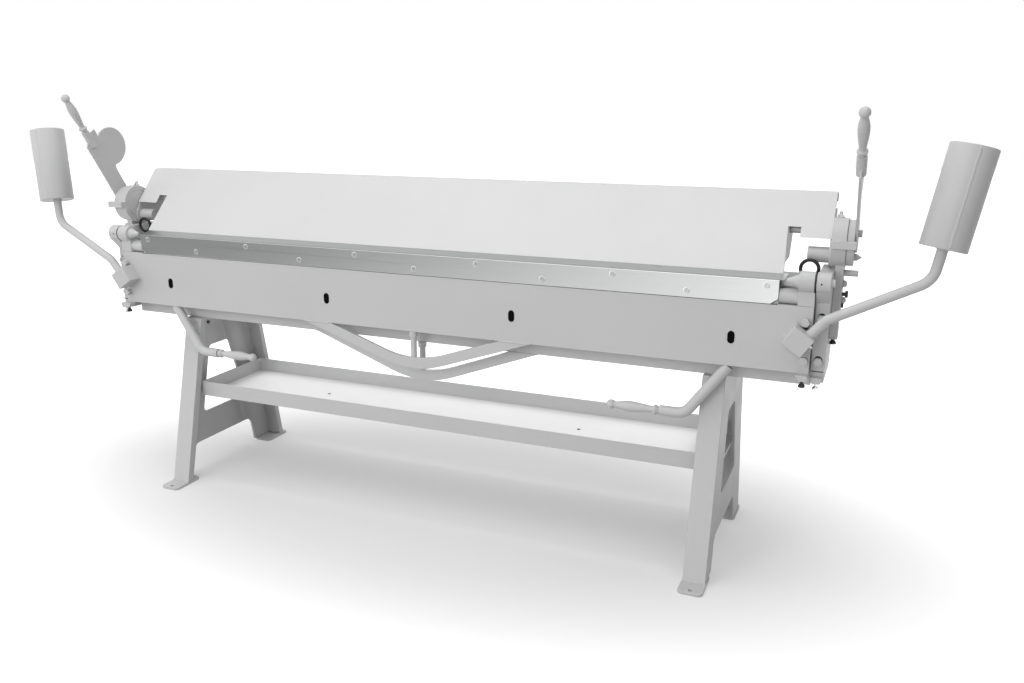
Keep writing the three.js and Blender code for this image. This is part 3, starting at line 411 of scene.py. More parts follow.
def turned_mesh(
    name: str,
    profile: Pairs,
    origin: Vector,
    direction: Vector,
    sides: int = 72,
    looped: bool = False,
) -> Mesh:
    """Makes a turned solid, or a ring where its profile is looped.

    Args:
        name: the mesh's name.
        profile: pairs of place along the axis and radius, in metres.
        origin: the start of the axis.
        direction: where the axis points.
        sides: the faces round the axis.
        looped: whether the profile runs round a ring's section.

    Returns:
        The new mesh, in place.
    """
    place = turning_matrix(origin, direction)
    rings = [
        [place @ Vector((radius * math.cos(a), radius * math.sin(a), along))
         for a in round_angles(sides)]
        for along, radius in profile
    ]
    return lofted(name, rings, looped)


def ring_run(centre: Vector, axis: Vector, radius: float, steps: int = 40) -> list[Vector]:
    """The points of a closed circle about an axis."""
    place = turning_matrix(centre, axis)
    angles = [*round_angles(steps), 2 * math.pi]
    return [place @ Vector((radius * math.cos(a), radius * math.sin(a), 0)) for a in angles]


def upright_slab(name: str, outline: Pairs, front: float, rear: float) -> Mesh:
    """A flat slab between two places in Y, from its corners as X and Z."""
    return lofted(name, [[Vector((x, y, z)) for x, z in outline] for y in (front, rear)])


def joined(name: str, meshes: list[Mesh]) -> Mesh:
    """Puts several meshes into one.

    Args:
        name: the new mesh's name.
        meshes: the meshes to put together.

    Returns:
        The new mesh.
    """
    shape = bmesh.new()
    for mesh in meshes:
        shape.from_mesh(mesh)
    return mesh_from(name, shape)


def bake(obj: Object) -> Object:
    """Puts an object's evaluated mesh in place of its modifiers.

    Args:
        obj: the object.

    Returns:
        The same object with a plain mesh.
    """
    graph = bpy.context.evaluated_depsgraph_get()
    mesh = bpy.data.meshes.new_from_object(obj.evaluated_get(graph), depsgraph=graph)
    obj.modifiers.clear()
    obj.data = mesh
    return obj


def ease(obj: Object, width: float, segments: int = 2) -> Object:
    """Rounds an object's sharp edges and keeps the result as its mesh.

    Args:
        obj: the object.
        width: the rounding's width in metres.
        segments: the faces across it.

    Returns:
        The same object.
    """
    bevel = obj.modifiers.new("eased_edges", "BEVEL")
    bevel.width = width
    bevel.segments = segments
    bevel.limit_method = "ANGLE"
    bevel.angle_limit = CREASE_ANGLE
    bevel.use_clamp_overlap = False
    level = obj.modifiers.new("level_faces", "WEIGHTED_NORMAL")
    level.keep_sharp = True
    level.weight = LEVEL_WEIGHT
    return bake(obj)


def smooth_profile(points: Pairs, steps: int = 4) -> Pairs:
    """Runs a smooth curve through the points of a turned profile.

    Args:
        points: pairs of place and radius.
        steps: the pieces between two points.

    Returns:
        The closer pairs.
    """
    padded = [points[0], *points, points[-1]]
    curve = []
    for i in range(1, len(padded) - 2):
        before, here, after, beyond = (Vector(padded[i + k]) for k in (-1, 0, 1, 2))
        for step in range(steps):
            t = step / steps
            place = 0.5 * (
                2 * here
                + (after - before) * t
                + (2 * before - 5 * here + 4 * after - beyond) * t**2
                + (3 * here - before - 3 * after + beyond) * t**3
            )
            curve.append((place.x, place.y))
    curve.append(points[-1])
    return curve


def middle_of(node: str) -> Vector:
    """The middle of a node's box."""
    low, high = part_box(node)
    return (low + high) / 2


def reach_of(node: str) -> tuple[float, float]:
    """How far a node's inner and outer sides stand from the machine's middle."""
    near, far = sorted(abs(corner.x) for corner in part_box(node))
    return near, far


def apron_face() -> float:
    """The Y of the apron's front face at rest."""
    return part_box("apron_beam")[0].y + TAB_DEPTH


@dataclass
class Dresser:
    """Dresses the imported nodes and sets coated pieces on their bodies."""

    shop: PaintShop
    slots: dict[str, str] = field(default_factory=dict)
    bodies: dict[str, Body] = field(default_factory=dict)

    def __post_init__(self) -> None:
        """Reads each node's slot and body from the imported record."""
        record = frame["record"]
        self.slots = {part["node"]: part["material_slot"] for part in record["subparts"]}
        for body, nodes in record["behaviour"]["bodies"].items():
            self.bodies.update(dict.fromkeys(nodes, Body(body)))

    def set_on(self, obj: Object, body: Body, finish: PlainFinish) -> None:
        """Coats an object and sets it on a body.

        Args:
            obj: the object.
            body: the body that carries it.
            finish: its finish.
        """
        obj.data.materials.clear()
        obj.data.materials.append(self.shop.material(finish))
        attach(obj, body.value)
        log.info("%s rides on %s", obj.name, body.value)

    def stand_in(self, obj: Object, node: str, finish: PlainFinish) -> None:
        """Lets a coated object stand for a node, on the node's body."""
        self.set_on(obj, self.bodies[node], finish)
        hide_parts(node)

    def add(self, mesh: Mesh, body: Body, finish: PlainFinish | None = None) -> None:
        """Adds a small piece on a body, painted as the frame unless it has a finish."""
        self.set_on(link(mesh.name, mesh), body, finish or self.shop.frame_paint)

    def stand(self, mesh: Mesh, node: str, finish: PlainFinish | None = None) -> None:
        """Lets a mesh stand for a node, painted as the frame unless it has a finish."""
        self.stand_in(link(mesh.name, mesh), node, finish or self.shop.frame_paint)

    def dress(self, node: str, edge: float, finish: PlainFinish | None = None) -> None:
        """Puts a copy with whole flat faces and eased edges in a node's place.

        Args:
            node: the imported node's name.
            edge: the width of the eased edges in metres.
            finish: the finish, or the usual one of the node's slot.
        """
        shape = bmesh.new()
        shape.from_mesh(frame["nodes"][node].data)
        bmesh.ops.remove_doubles(shape, verts=shape.verts, dist=MERGE_DISTANCE)
        bmesh.ops.dissolve_limit(
            shape, angle_limit=FLAT_ANGLE, use_dissolve_boundaries=False,
            verts=shape.verts, edges=shape.edges,
        )
        name = f"{node}_skin"
        obj = ease(link(name, mesh_from(name, shape)), edge)
        self.stand_in(obj, node, finish or self.shop.of_slot(self.slots[node]))

    def dress_pair(self, part: str, edge: float, finish: PlainFinish | None = None) -> None:
        """Dresses the nodes of a part that both ends have."""
        for side in Side:
            self.dress(side.named(part), edge, finish)


class GeometryTree:
    """A geometry node tree with named inputs, which sets a shape on points."""

    def __init__(self, name: str, inputs: dict[str, str]) -> None:
        """Starts a tree.

        Args:
            name: the tree's name.
            inputs: the kind of each named input, beside the geometry and the material.
        """
        self.tree = bpy.data.node_groups.new(name, "GeometryNodeTree")
        sockets = self.tree.interface
        sockets.new_socket(name="Geometry", in_out="OUTPUT", socket_type="NodeSocketGeometry")
        self.identifiers: dict[str, str] = {}
        for key, kind in {"Geometry": "Geometry", **inputs, "Material": "Material"}.items():
            socket = sockets.new_socket(name=key, in_out="INPUT", socket_type=f"NodeSocket{kind}")
            self.identifiers[key] = socket.identifier
        self.inputs = self.tree.nodes.new("NodeGroupInput").outputs

    def add(
        self, kind: str, inputs: Inputs | None = None, **settings: object
    ) -> Node:
        """Adds a node to the tree, as add_node does."""
        return add_node(self.tree, kind, inputs, **settings)

    def combine(self, **axes: Socket) -> Socket:
        """The socket of a vector with the given parts along X, Y or Z."""
        return self.add("ShaderNodeCombineXYZ", axes).outputs["Vector"]

    def spread(self, shape: Socket, points: Socket,
               **placing: object) -> None:
        """Sets a shape on points and ends the tree with a plain, coated mesh.

        Args:
            shape: the shape's socket.
            points: the points' socket.
            **placing: the socket or value of the shapes' Rotation and Scale.
        """
        inputs = {"Points": points, "Instance": shape, **placing}
        instances = self.add("GeometryNodeInstanceOnPoints", inputs).outputs["Instances"]
        whole = self.add("GeometryNodeRealizeInstances", {"Geometry": instances})
        coated = self.add("GeometryNodeSetMaterial", {
            "Geometry": whole.outputs["Geometry"], "Material": self.inputs["Material"],
        })
        self.add("NodeGroupOutput", {"Geometry": coated.outputs["Geometry"]})

    def run(self, mesh: Mesh, values: dict[str, object]) -> Object:
        """Runs the tree on a mesh.

        Args:
            mesh: the mesh that enters the tree, with the new object's name.
            values: the value of each named input.

        Returns:
            An object with the result as a plain mesh.
        """
        obj = link(mesh.name, mesh)
        modifier = obj.modifiers.new("maker", "NODES")
        modifier.node_group = self.tree
        for key, value in values.items():
            modifier[self.identifiers[key]] = value
        return bake(obj)


@dataclass
class HexBoltMaker:
    """Makes hexagon bolts with washers, with its sizes as shares of the head's radius."""

    dresser: Dresser
    head_height: float = 0.72
    washer_radius: float = 1.32
    neck_radius: float = 0.8
    washer_height: float = 0.16
    stud_radius: float = 0.55
    tree: GeometryTree | None = None

    def build_tree(self) -> GeometryTree:
        """Builds the tree: washer, head and stud on each other, set on the seats.

        Returns:
            The node tree.
        """
        parts = (("Washer", 32), ("Head", 6), ("Stud", 20))
        names = [f"{part} {size}" for part, _ in parts for size in ("Radius", "Height")]
        tree = GeometryTree("hex_bolts", dict.fromkeys(names, "Float"))
        join = tree.add("GeometryNodeJoinGeometry")
        for part, sides in parts:
            height = tree.inputs[f"{part} Height"]
            base = 0.0 if part == "Washer" else tree.inputs["Washer Height"]
            solid = tree.add("GeometryNodeMeshCylinder", {
                "Vertices": sides, "Radius": tree.inputs[f"{part} Radius"], "Depth": height,
            })
            rise = {0: height, 1: 0.5, 2: base}
            lift = tree.add("ShaderNodeMath", rise, operation="MULTIPLY_ADD")
            moved = tree.add("GeometryNodeTransform", {
                "Geometry": solid.outputs["Mesh"], "Translation": tree.combine(Z=lift.outputs[0]),
            })
            feed(join, {"Geometry": moved.outputs["Geometry"]})
        kind = "GeometryNodeInputNamedAttribute"
        facing = tree.add(kind, {"Name": "facing"}, data_type="FLOAT_VECTOR")
        size = tree.add(kind, {"Name": "size"}, data_type="FLOAT")
        way = {"Vector": facing.outputs["Attribute"]}
        turn = tree.add("FunctionNodeAlignRotationToVector", way, axis="Z")
        tree.spread(
            join.outputs["Geometry"], tree.inputs["Geometry"],
            Rotation=turn.outputs["Rotation"], Scale=size.outputs["Attribute"],
        )
        return tree

    def place(
        self,
        name: str,
        body: Body,
        bolts: list[tuple[Vector, Vector, float]],
        finish: PlainFinish,
        stud: float = 0.9,
        edge: float = 0.0004,
        washer: bool = False,
    ) -> None:
        """Sets bolts on a body.

        Args:
            name: the new object's name.
            body: the body that carries the bolts.
            bolts: the seat, facing direction and head radius of each bolt.
            finish: the bolts' finish.
            stud: the stud's height as a share of the head's.
            edge: the width of the eased edges.
            washer: whether a wide washer lies under each head.
        """
        self.tree = self.tree or self.build_tree()
        seeds = bpy.data.meshes.new(name)
        seeds.from_pydata([tuple(seat) for seat, _, _ in bolts], [], [])
        facing = seeds.attributes.new("facing", "FLOAT_VECTOR", "POINT")
        facing.data.foreach_set("vector", [c for _, way, _ in bolts for c in way])
        size = seeds.attributes.new("size", "FLOAT", "POINT")
        size.data.foreach_set("value", [radius for _, _, radius in bolts])
        obj = self.tree.run(seeds, {
            "Head Radius": 1.0,
            "Head Height": self.head_height,
            "Washer Radius": self.washer_radius if washer else self.neck_radius,
            "Washer Height": self.washer_height,
            "Stud Radius": self.stud_radius,
            "Stud Height": self.head_height * stud,
            "Material": self.dresser.shop.material(finish),
        })
        smooth_by_crease(obj.data)
        self.dresser.set_on(ease(obj, edge), body, finish)


@dataclass
class StripScrews:
    """The countersunk screws along the apron's strip, on two rows in turn."""

    dresser: Dresser
    pitch: float = 0.2
    count: int = 11
    edge_drop: float = 0.0145
    row_drop: float = 0.0285
    head_radius: float = 0.0074
    socket_radius: float = 0.0031
    head_depth: float = 0.0022
    socket_rise: float = -0.0006
    sunk: float = 0.0006

    def build_tree(self) -> GeometryTree:
        """Builds the tree: a cone with a hexagon socket, on a line that steps up and down.

        Returns:
            The node tree.
        """
        names = ("Pitch", "Row Step", "Head Radius", "Socket Radius", "Head Depth")
        kinds = {"Count": "Int", **dict.fromkeys(names, "Float"), "Start": "Vector"}
        tree = GeometryTree("strip_screws", kinds)
        line = tree.add("GeometryNodeMeshLine", {
            "Count": tree.inputs["Count"],
            "Start Location": tree.inputs["Start"],
            "Offset": tree.combine(X=tree.inputs["Pitch"]),
        }, mode="OFFSET")
        index = tree.add("GeometryNodeInputIndex").outputs["Index"]
        odd = tree.add("ShaderNodeMath", {0: index, 1: 2.0}, operation="MODULO")
        step = {0: odd.outputs[0], 1: tree.inputs["Row Step"]}
        drop = tree.add("ShaderNodeMath", step, operation="MULTIPLY")
        rows = tree.add("GeometryNodeSetPosition", {
            "Geometry": line.outputs["Mesh"], "Offset": tree.combine(Z=drop.outputs[0]),
        })
        head = tree.add("GeometryNodeMeshCone", {
            "Vertices": 40,
            "Radius Top": tree.inputs["Socket Radius"],
            "Radius Bottom": tree.inputs["Head Radius"],
            "Depth": tree.inputs["Head Depth"],
        })
        socket = tree.add("GeometryNodeMeshCylinder", {
            "Vertices": 6,
            "Radius": tree.inputs["Socket Radius"],
            "Depth": tree.inputs["Head Depth"],
        })
        lowered = tree.add("GeometryNodeTransform", {
            "Geometry": socket.outputs["Mesh"], "Translation": (0.0, 0.0, self.socket_rise),
        })
        pair = {"Mesh 1": head.outputs["Mesh"], "Mesh 2": lowered.outputs["Geometry"]}
        cut = tree.add("GeometryNodeMeshBoolean", pair, operation="DIFFERENCE", solver="EXACT")
        facing = (-math.pi / 2, 0.0, 0.0)
        tree.spread(cut.outputs["Mesh"], rows.outputs["Geometry"], Rotation=facing)
        return tree

    def build(self) -> None:
        """Sets the screws in the strip's countersinks."""
        low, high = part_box("apron_strip")
        first = -self.pitch * (self.count - 1) / 2
        zinc = self.dresser.shop.zinc
        obj = self.build_tree().run(bpy.data.meshes.new("strip_screws"), {
            "Count": self.count,
            "Pitch": self.pitch,
            "Row Step": -self.row_drop,
            "Head Radius": self.head_radius,
            "Socket Radius": self.socket_radius,
            "Head Depth": self.head_depth,
            "Start": Vector((first, low.y + self.sunk, high.z - self.edge_drop)),
            "Material": self.dresser.shop.material(zinc),
        })
        smooth_by_crease(obj.data)
        self.dresser.set_on(obj, Body.APRON, zinc)


@dataclass
class WeldMaker:
    """Lays rippled weld beads along runs of points."""

    dresser: Dresser
    spacing: float = 0.0013
    usual_size: float = 0.85
    size_spread: float = 0.08
    seed: int = 7
    tree: GeometryTree | None = None

    def build_tree(self) -> GeometryTree:
        """Builds the tree: small lumps close together along a run.

        Returns:
            The node tree.
        """
        names = ("Spacing", "Bead Radius", "Least Size", "Most Size")
        tree = GeometryTree("weld_beads", {**dict.fromkeys(names, "Float"), "Seed": "Int"})
        run = tree.add("GeometryNodeMeshToCurve", {"Mesh": tree.inputs["Geometry"]})
        even = tree.add("GeometryNodeResampleCurve", {
            "Curve": run.outputs["Curve"], "Length": tree.inputs["Spacing"],
        }, mode="LENGTH")
        lump = tree.add("GeometryNodeMeshUVSphere", {
            "Segments": 8, "Rings": 5, "Radius": tree.inputs["Bead Radius"],
        })
        vary = tree.add("FunctionNodeRandomValue", {
            2: tree.inputs["Least Size"], 3: tree.inputs["Most Size"],
            "Seed": tree.inputs["Seed"],
        }, data_type="FLOAT")
        tree.spread(lump.outputs["Mesh"], even.outputs["Curve"], Scale=vary.outputs[1])
        return tree

    def lay(self, name: str, body: Body, runs: list[list[Vector]], bead: float) -> None:
        """Lays beads on a body.

        Args:
            name: the new object's name.
            body: the body that carries the beads.
            runs: the points of each bead, in order.
            bead: the bead's radius.
        """
        self.tree = self.tree or self.build_tree()
        points, edges = [], []
        for run in runs:
            start = len(points)
            points.extend(tuple(point) for point in run)
            edges.extend((start + i, start + i + 1) for i in range(len(run) - 1))
        seeds = bpy.data.meshes.new(name)
        seeds.from_pydata(points, edges, [])
        paint = self.dresser.shop.frame_paint
        obj = self.tree.run(seeds, {
            "Spacing": self.spacing,
            "Bead Radius": bead,
            "Least Size": self.usual_size - self.size_spread,
            "Most Size": self.usual_size + self.size_spread,
            "Seed": self.seed,
            "Material": self.dresser.shop.material(paint),
        })
        obj.data.shade_smooth()
        self.dresser.set_on(obj, body, paint)


@dataclass
class BentTube:
    """A round tube with bends, from the points of its corners."""

    radius: float = 0.0125
    sides: int = 40
    bend_steps: int = 14

    def centre_line(self, corners: list[Vector], bends: list[float]) -> list[Vector]:
        """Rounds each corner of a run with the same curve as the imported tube.

        Args:
            corners: the ends and corners of the run.
            bends: the bend radius at each inner corner.

        Returns:
            The points of the centre line.
        """
        line = [corners[0]]
        for before, corner, after, bend in zip(corners, corners[1:], corners[2:], bends):
            back, ahead = (before - corner).normalized(), (after - corner).normalized()
            reach = bend / math.tan(back.angle(ahead) / 2)
            start, end = corner + back * reach, corner + ahead * reach
            for step in range(self.bend_steps + 1):
                t = step / self.bend_steps
                line.append(start * (1 - t) ** 2 + corner * 2 * t * (1 - t) + end * t**2)
        return [*line, corners[-1]]

    def mesh(self, name: str, corners: list[Vector], bends: list[float]) -> Mesh:
        """Sweeps the tube's circle along its centre line.

        Args:
            name: the mesh's name.
            corners: the ends and corners of the run.
            bends: the bend radius at each inner corner.

        Returns:
            The closed mesh.
        """
        line = self.centre_line(corners, bends)
        across = Vector((0, 1, 0))
        rings = []
        for i, point in enumerate(line):
            ahead = (line[min(i + 1, len(line) - 1)] - line[max(i - 1, 0)]).normalized()
            across = (across - ahead * across.dot(ahead)).normalized()
            other = ahead.cross(across)
            rings.append([
                point + (across * math.cos(a) + other * math.sin(a)) * self.radius
                for a in round_angles(self.sides)
            ])
        return lofted(name, rings)


@dataclass
class TurnedGrip:
    """The turned grip shape: stem, collar, belly, neck and ball."""

    ball_radius: float = 0.013
    belly_radius: float = 0.0135
    stem_share: float = 0.62
    ball_start: float = math.radians(42)
    ball_steps: int = 16
    tip_radius: float = 0.0004
    sides: int = 56
    belly: tuple[tuple[float, float], ...] = (
        (0.045, 0.63), (0.106, 0.63), (0.2, 0.74), (0.3, 0.86), (0.42, 0.97), (0.51, 1.0),
        (0.6, 0.97), (0.7, 0.8), (0.77, 0.667),
    )
    collar: tuple[tuple[float, float], ...] = (
        (-0.062, 0.62), (-0.06, 0.74), (-0.04, 0.74), (-0.028, 0.84), (-0.016, 0.92), (0.0, 0.945),
        (0.016, 0.92), (0.03, 0.8),
    )

    def mesh(
        self, name: str, length: float, start: float, place: Vector, way: Vector
    ) -> Mesh:
        """Turns the grip.

        Args:
            name: the mesh's name.
            length: from the collar to the tip.
            start: the stem's start, measured from the collar.
            place: the collar's middle.
            way: the direction to the tip.

        Returns:
            The closed mesh.
        """
        collar, belly = (
            [(along * length, share * self.belly_radius) for along, share in shares]
            for shares in (self.collar, self.belly)
        )
        profile = [(start, self.belly_radius * self.stem_share), *collar, *smooth_profile(belly)]
        centre = length - self.ball_radius
        for i in range(self.ball_steps):
            angle = self.ball_start + (math.pi - self.ball_start) * i / self.ball_steps
            along = centre - self.ball_radius * math.cos(angle)
            profile.append((along, self.ball_radius * math.sin(angle)))
        profile.append((length, self.tip_radius))
        return turned_mesh(name, profile, place, way, self.sides)


@dataclass
class Assembly:
    """The makers that a sub-assembly of the machine works with."""

    dresser: Dresser
    bolts: HexBoltMaker
    welds: WeldMaker

    @property
    def shop(self) -> PaintShop:
        """The finishes."""
        return self.dresser.shop


@dataclass
class Truss:
    """A bent bar under a beam, with its turned post, the nut at its top and the welds."""

    dresser: Dresser
    welds: WeldMaker
    bar: str
    body: Body
    edge: float
    post_piece: str
    radius: float = 0.0092
    nut_radius: float = 0.0128
    nut_height: float = 0.016
    chamfer: float = 0.0008
    weld_reach: float = 0.09
    weld_inset: float = 0.002
    weld_radius: float = 0.0065
    bead: float = 0.0024

    def build(self) -> None:
        """Dresses the bar and turns its post."""
        self.dresser.dress(self.bar, self.edge)
        node = f"{self.bar}_post"
        low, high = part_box(node)
        height, nut, step = high.z - low.z, self.nut_radius, self.chamfer
        seat = height - self.nut_height
        profile = [
            (0.0, self.radius), (seat, self.radius), (seat, nut - step), (seat + step, nut),
            (height - step, nut), (height, nut - step),
        ]
        centre = middle_of(node)
        foot = Vector((centre.x, centre.y, low.z))
        self.dresser.stand(turned_mesh(self.post_piece, profile, foot, UP, sides=40), node)
        self.add_welds(foot)

    def add_welds(self, foot: Vector) -> None:
        """Beads along the bar's two ends and round the post's foot.

        Args:
            foot: the middle of the post's foot.
        """
        low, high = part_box(self.bar)
        runs = []
        for y in (low.y, high.y):
            for end, sign in ((low.x, 1), (high.x, -1)):
                places = (end + sign * self.weld_inset, end + sign * self.weld_reach)
                runs.append([Vector((x, y, high.z)) for x in places])
        runs.append(ring_run(foot, UP, self.weld_radius, steps=24))
        self.welds.lay(f"{self.bar}_welds", self.body, runs, self.bead)


@dataclass
class Stand(Assembly):
    """Leg frames, foot plates and the tray."""

    leg_edge: float = 0.0016
    foot_edge: float = 0.0009
    tray_edge: float = 0.0008
    leg_bolt_back: float = 0.1337
    leg_bolt_height: float = 0.5132
    leg_bolt_radius: float = 0.006
    web_thickness: float = 0.01
    # Painted shade: the black discs in the tray's holes, standing for the dark inside them.
    hole_shade_place: float = 0.45
    hole_shade_back: float = 0.168
    shade_radius: float = 0.0055
    hole_shade_height: float = 0.0005
    tray_sheet: float = 0.003
    weld_inset: float = 0.001
    bead: float = 0.003

    def build(self) -> None:
        """Dresses the stand and adds its bolts, the painted shade in the tray's holes and welds."""
        self.dresser.dress_pair("leg_frame", self.leg_edge)
        self.dresser.dress_pair("front_foot_plate", self.foot_edge)
        self.dresser.dress_pair("rear_foot_plate", self.foot_edge)
        self.dresser.dress("tray", self.tray_edge)
        self.add_leg_bolts()
        self.add_tray_hole_shades()
        self.add_foot_welds()

    def add_leg_bolts(self) -> None:
        """A small dark bolt in each leg's inner web face, near its top."""
        seats = []
        for side in Side:
            web = reach_of(side.named("leg_frame"))[1] - self.web_thickness
            place = (side.value * web, apron_face() + self.leg_bolt_back, self.leg_bolt_height)
            seats.append((Vector(place), -side.outward, self.leg_bolt_radius))
        self.bolts.place("leg_bolts", Body.FRAME, seats, self.shop.black_steel)

    def add_tray_hole_shades(self) -> None:
        """Painted shade: a thin black disc in each of the tray's two holes, where the hole's dark
        shows.
        """
        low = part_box("tray")[0]
        profile = [(0.0, self.shade_radius), (self.hole_shade_height, self.shade_radius)]
        for side in Side:
            place = (side.value * self.hole_shade_place, low.y + self.hole_shade_back, low.z + self.tray_sheet)
            mesh = turned_mesh(side.named("tray_plug"), profile, Vector(place), UP, sides=32)
            self.dresser.add(mesh, Body.FRAME, self.shop.black_steel)

    def add_foot_welds(self) -> None:
        """Beads where the legs stand on their foot plates."""
        runs = []
        for side in Side:
            low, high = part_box(side.named("leg_frame"))
            for place, y in (("front", low.y), ("rear", high.y)):
                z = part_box(side.named(f"{place}_foot_plate"))[1].z + self.weld_inset
                ends = (low.x + self.weld_inset, high.x - self.weld_inset)
                runs.append([Vector((x, y, z)) for x in ends])
        self.welds.lay("foot_welds", Body.FRAME, runs, self.bead)


@dataclass
class LowerBeam(Assembly):
    """The fixed beam with its blade, truss, side frames, clamp arms and small parts."""

    beam_edge: float = 0.001
    blade_edge: float = 0.0003
    frame_edge: float = 0.0008
    arm_edge: float = 0.0009
    small_edge: float = 0.0005
    frame_setback: float = 0.022
    frame_bolt_heights: tuple[float, float] = (0.735, 0.625)
    frame_bolt_radius: float = 0.0115
    # Painted shade: a thin black disc a little above each frame bolt, standing for the dark of the
    # slotted hole behind its head.
    bolt_hole_rise: float = 0.0056
    bolt_hole_radius: float = 0.0092
    bolt_hole_depth: float = 0.001
    arm_bolt_heights: tuple[float, float] = (0.81, 0.767)
    arm_bolt_radius: float = 0.0085
    arm_stud: float = 1.4
    lock_nut_height: float = 0.754
    lock_nut_forward: float = 0.004
    dark_nut_radius: float = 0.00595
    ring_bolt_inset: float = 0.02
    ring_bolt_back: float = 0.012
    ring_bolt_sunk: float = 0.0015
    ring_bolt_way: Triple = (0, 0.18, 1)
    ring_stud: float = 2.3
    # Painted shade: a black cap at the oil hole, standing for the dark inside it.
    oil_hole_radius: float = 0.0022
    oil_hole_share: float = 0.36
    oil_hole_depth: float = 0.0015
    oil_hole_rim: tuple[float, float, float] = (0.0002, 0.0004, 0.8)
    hinge_radius: float = 0.026
    # Painted shade: a black ring in the crevice between the hinge barrels.
    crevice_shade_inner: float = 0.0108
    crevice_shade_outer: float = 0.0222
    crevice_shade_length: float = 0.0036
    crevice_shade_inset: float = 0.0006
    # Painted shadow: a thin black rod above the frame's tab, standing for the shadow line there.
    tab_shadow_radius: float = 0.0012
    tab_shadow_rise: float = 0.0325
    tab_shadow_back: float = 0.006
    tab_shadow_ends: Pairs = field(default_factory=lambda: [(0.0006, 0.6), (0.0014, 1.0)])
    eye_radius: float = 0.022
    eye_bar: float = 0.0045
    eye_stem: float = 0.006
    eye_foot: float = 1.35
    eye_foot_top: float = 0.4
    eye_stem_start: float = 0.55

    def build(self) -> None:
        """Dresses the beam's nodes and adds bolts, nuts, welds and the black pieces of painted
        shade at the hinges and frame bolts.
        """
        self.dresser.dress("lower_beam", self.beam_edge)
        self.dresser.dress("lower_blade", self.blade_edge)
        Truss(
            self.dresser, self.welds, "lower_truss", Body.FRAME, self.beam_edge,
            "lower_truss_turned",
        ).build()
        self.dresser.dress_pair("side_frame", self.frame_edge)
        self.dresser.dress_pair("clamp_arm", self.arm_edge)
        for part in ("frame_screw", "arm_screw", "arm_knob"):
            self.dresser.dress_pair(part, self.small_edge)
        self.dresser.dress_pair("hinge_pin", self.small_edge, self.shop.dull_steel)
        for side in Side:
            self.add_lifting_eye(side)
            self.add_hinge_details(side)
        self.add_bolts()

    def add_lifting_eye(self, side: Side) -> None:
        """Makes one lifting eye round: a ring on its stem.

        Args:
            side: the end of the machine.
        """
        node = side.named("lifting_eye")
        low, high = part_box(node)
        centre = middle_of(node)
        foot = Vector((centre.x, centre.y, low.z))
        centre.z = high.z - self.eye_radius - self.eye_bar
        section = [
            (self.eye_bar * math.sin(a), self.eye_radius + self.eye_bar * math.cos(a))
            for a in round_angles(20)
        ]
        ring = turned_mesh("eye_ring", section, centre, -FORWARD, sides=80, looped=True)
        height = centre.z - self.eye_radius - low.z
        collar = self.eye_stem * self.eye_foot
        stem = turned_mesh("eye_stem", [
            (0.0, collar), (height * self.eye_foot_top, collar),
            (height * self.eye_stem_start, self.eye_stem), (height, self.eye_bar),
        ], foot, UP, sides=40)
        mesh = joined(f"{node}_round", [ring, stem])
        self.dresser.stand(mesh, node, self.shop.black_steel)

    def add_hinge_details(self, side: Side) -> None:
        """Adds one hinge's pieces of painted shade: a black ring in the crevice between the
        barrels, a black cap for the dark inside the oil hole and a black rod for the shadow line
        above the frame's tab.

        Args:
            side: the end of the machine.
        """
        node = side.named("side_frame")
        near, far = reach_of(node)
        inner = side.mirror(middle_of(side.named("hinge_pin")))
        inner.x = near
        half = self.crevice_shade_length / 2
        middle = side.mirror(inner) - side.outward * (self.crevice_shade_inset + half)
        collar = [
            (-half, self.crevice_shade_inner), (-half, self.crevice_shade_outer),
            (half, self.crevice_shade_outer), (half, self.crevice_shade_inner),
        ]
        hole = side.mirror(inner) + side.outward * ((far - near) * self.oil_hole_share)
        hole += FORWARD * self.hinge_radius
        radius, (rim, top, share) = self.oil_hole_radius, self.oil_hole_rim
        oil = [(-self.oil_hole_depth, radius), (rim, radius), (top, radius * share)]
        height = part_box(node)[0].z + self.tab_shadow_rise
        seat = Vector((side.value * near, apron_face() + self.tab_shadow_back, height))
        ends = [(along, share * self.tab_shadow_radius) for along, share in self.tab_shadow_ends]
        shadow_rod = [*ends, *((far - near - along, radius) for along, radius in reversed(ends))]
        for name, profile, place, way, sides in (
            ("hinge_collar", collar, middle, side.outward, 64),
            ("oil_hole", oil, hole, FORWARD, 28),
            ("tab_seal", shadow_rod, seat, side.outward, 20),
        ):
            looped = profile is collar
            mesh = turned_mesh(side.named(name), profile, place, way, sides, looped)
            self.dresser.add(mesh, Body.FRAME, self.shop.black_steel)

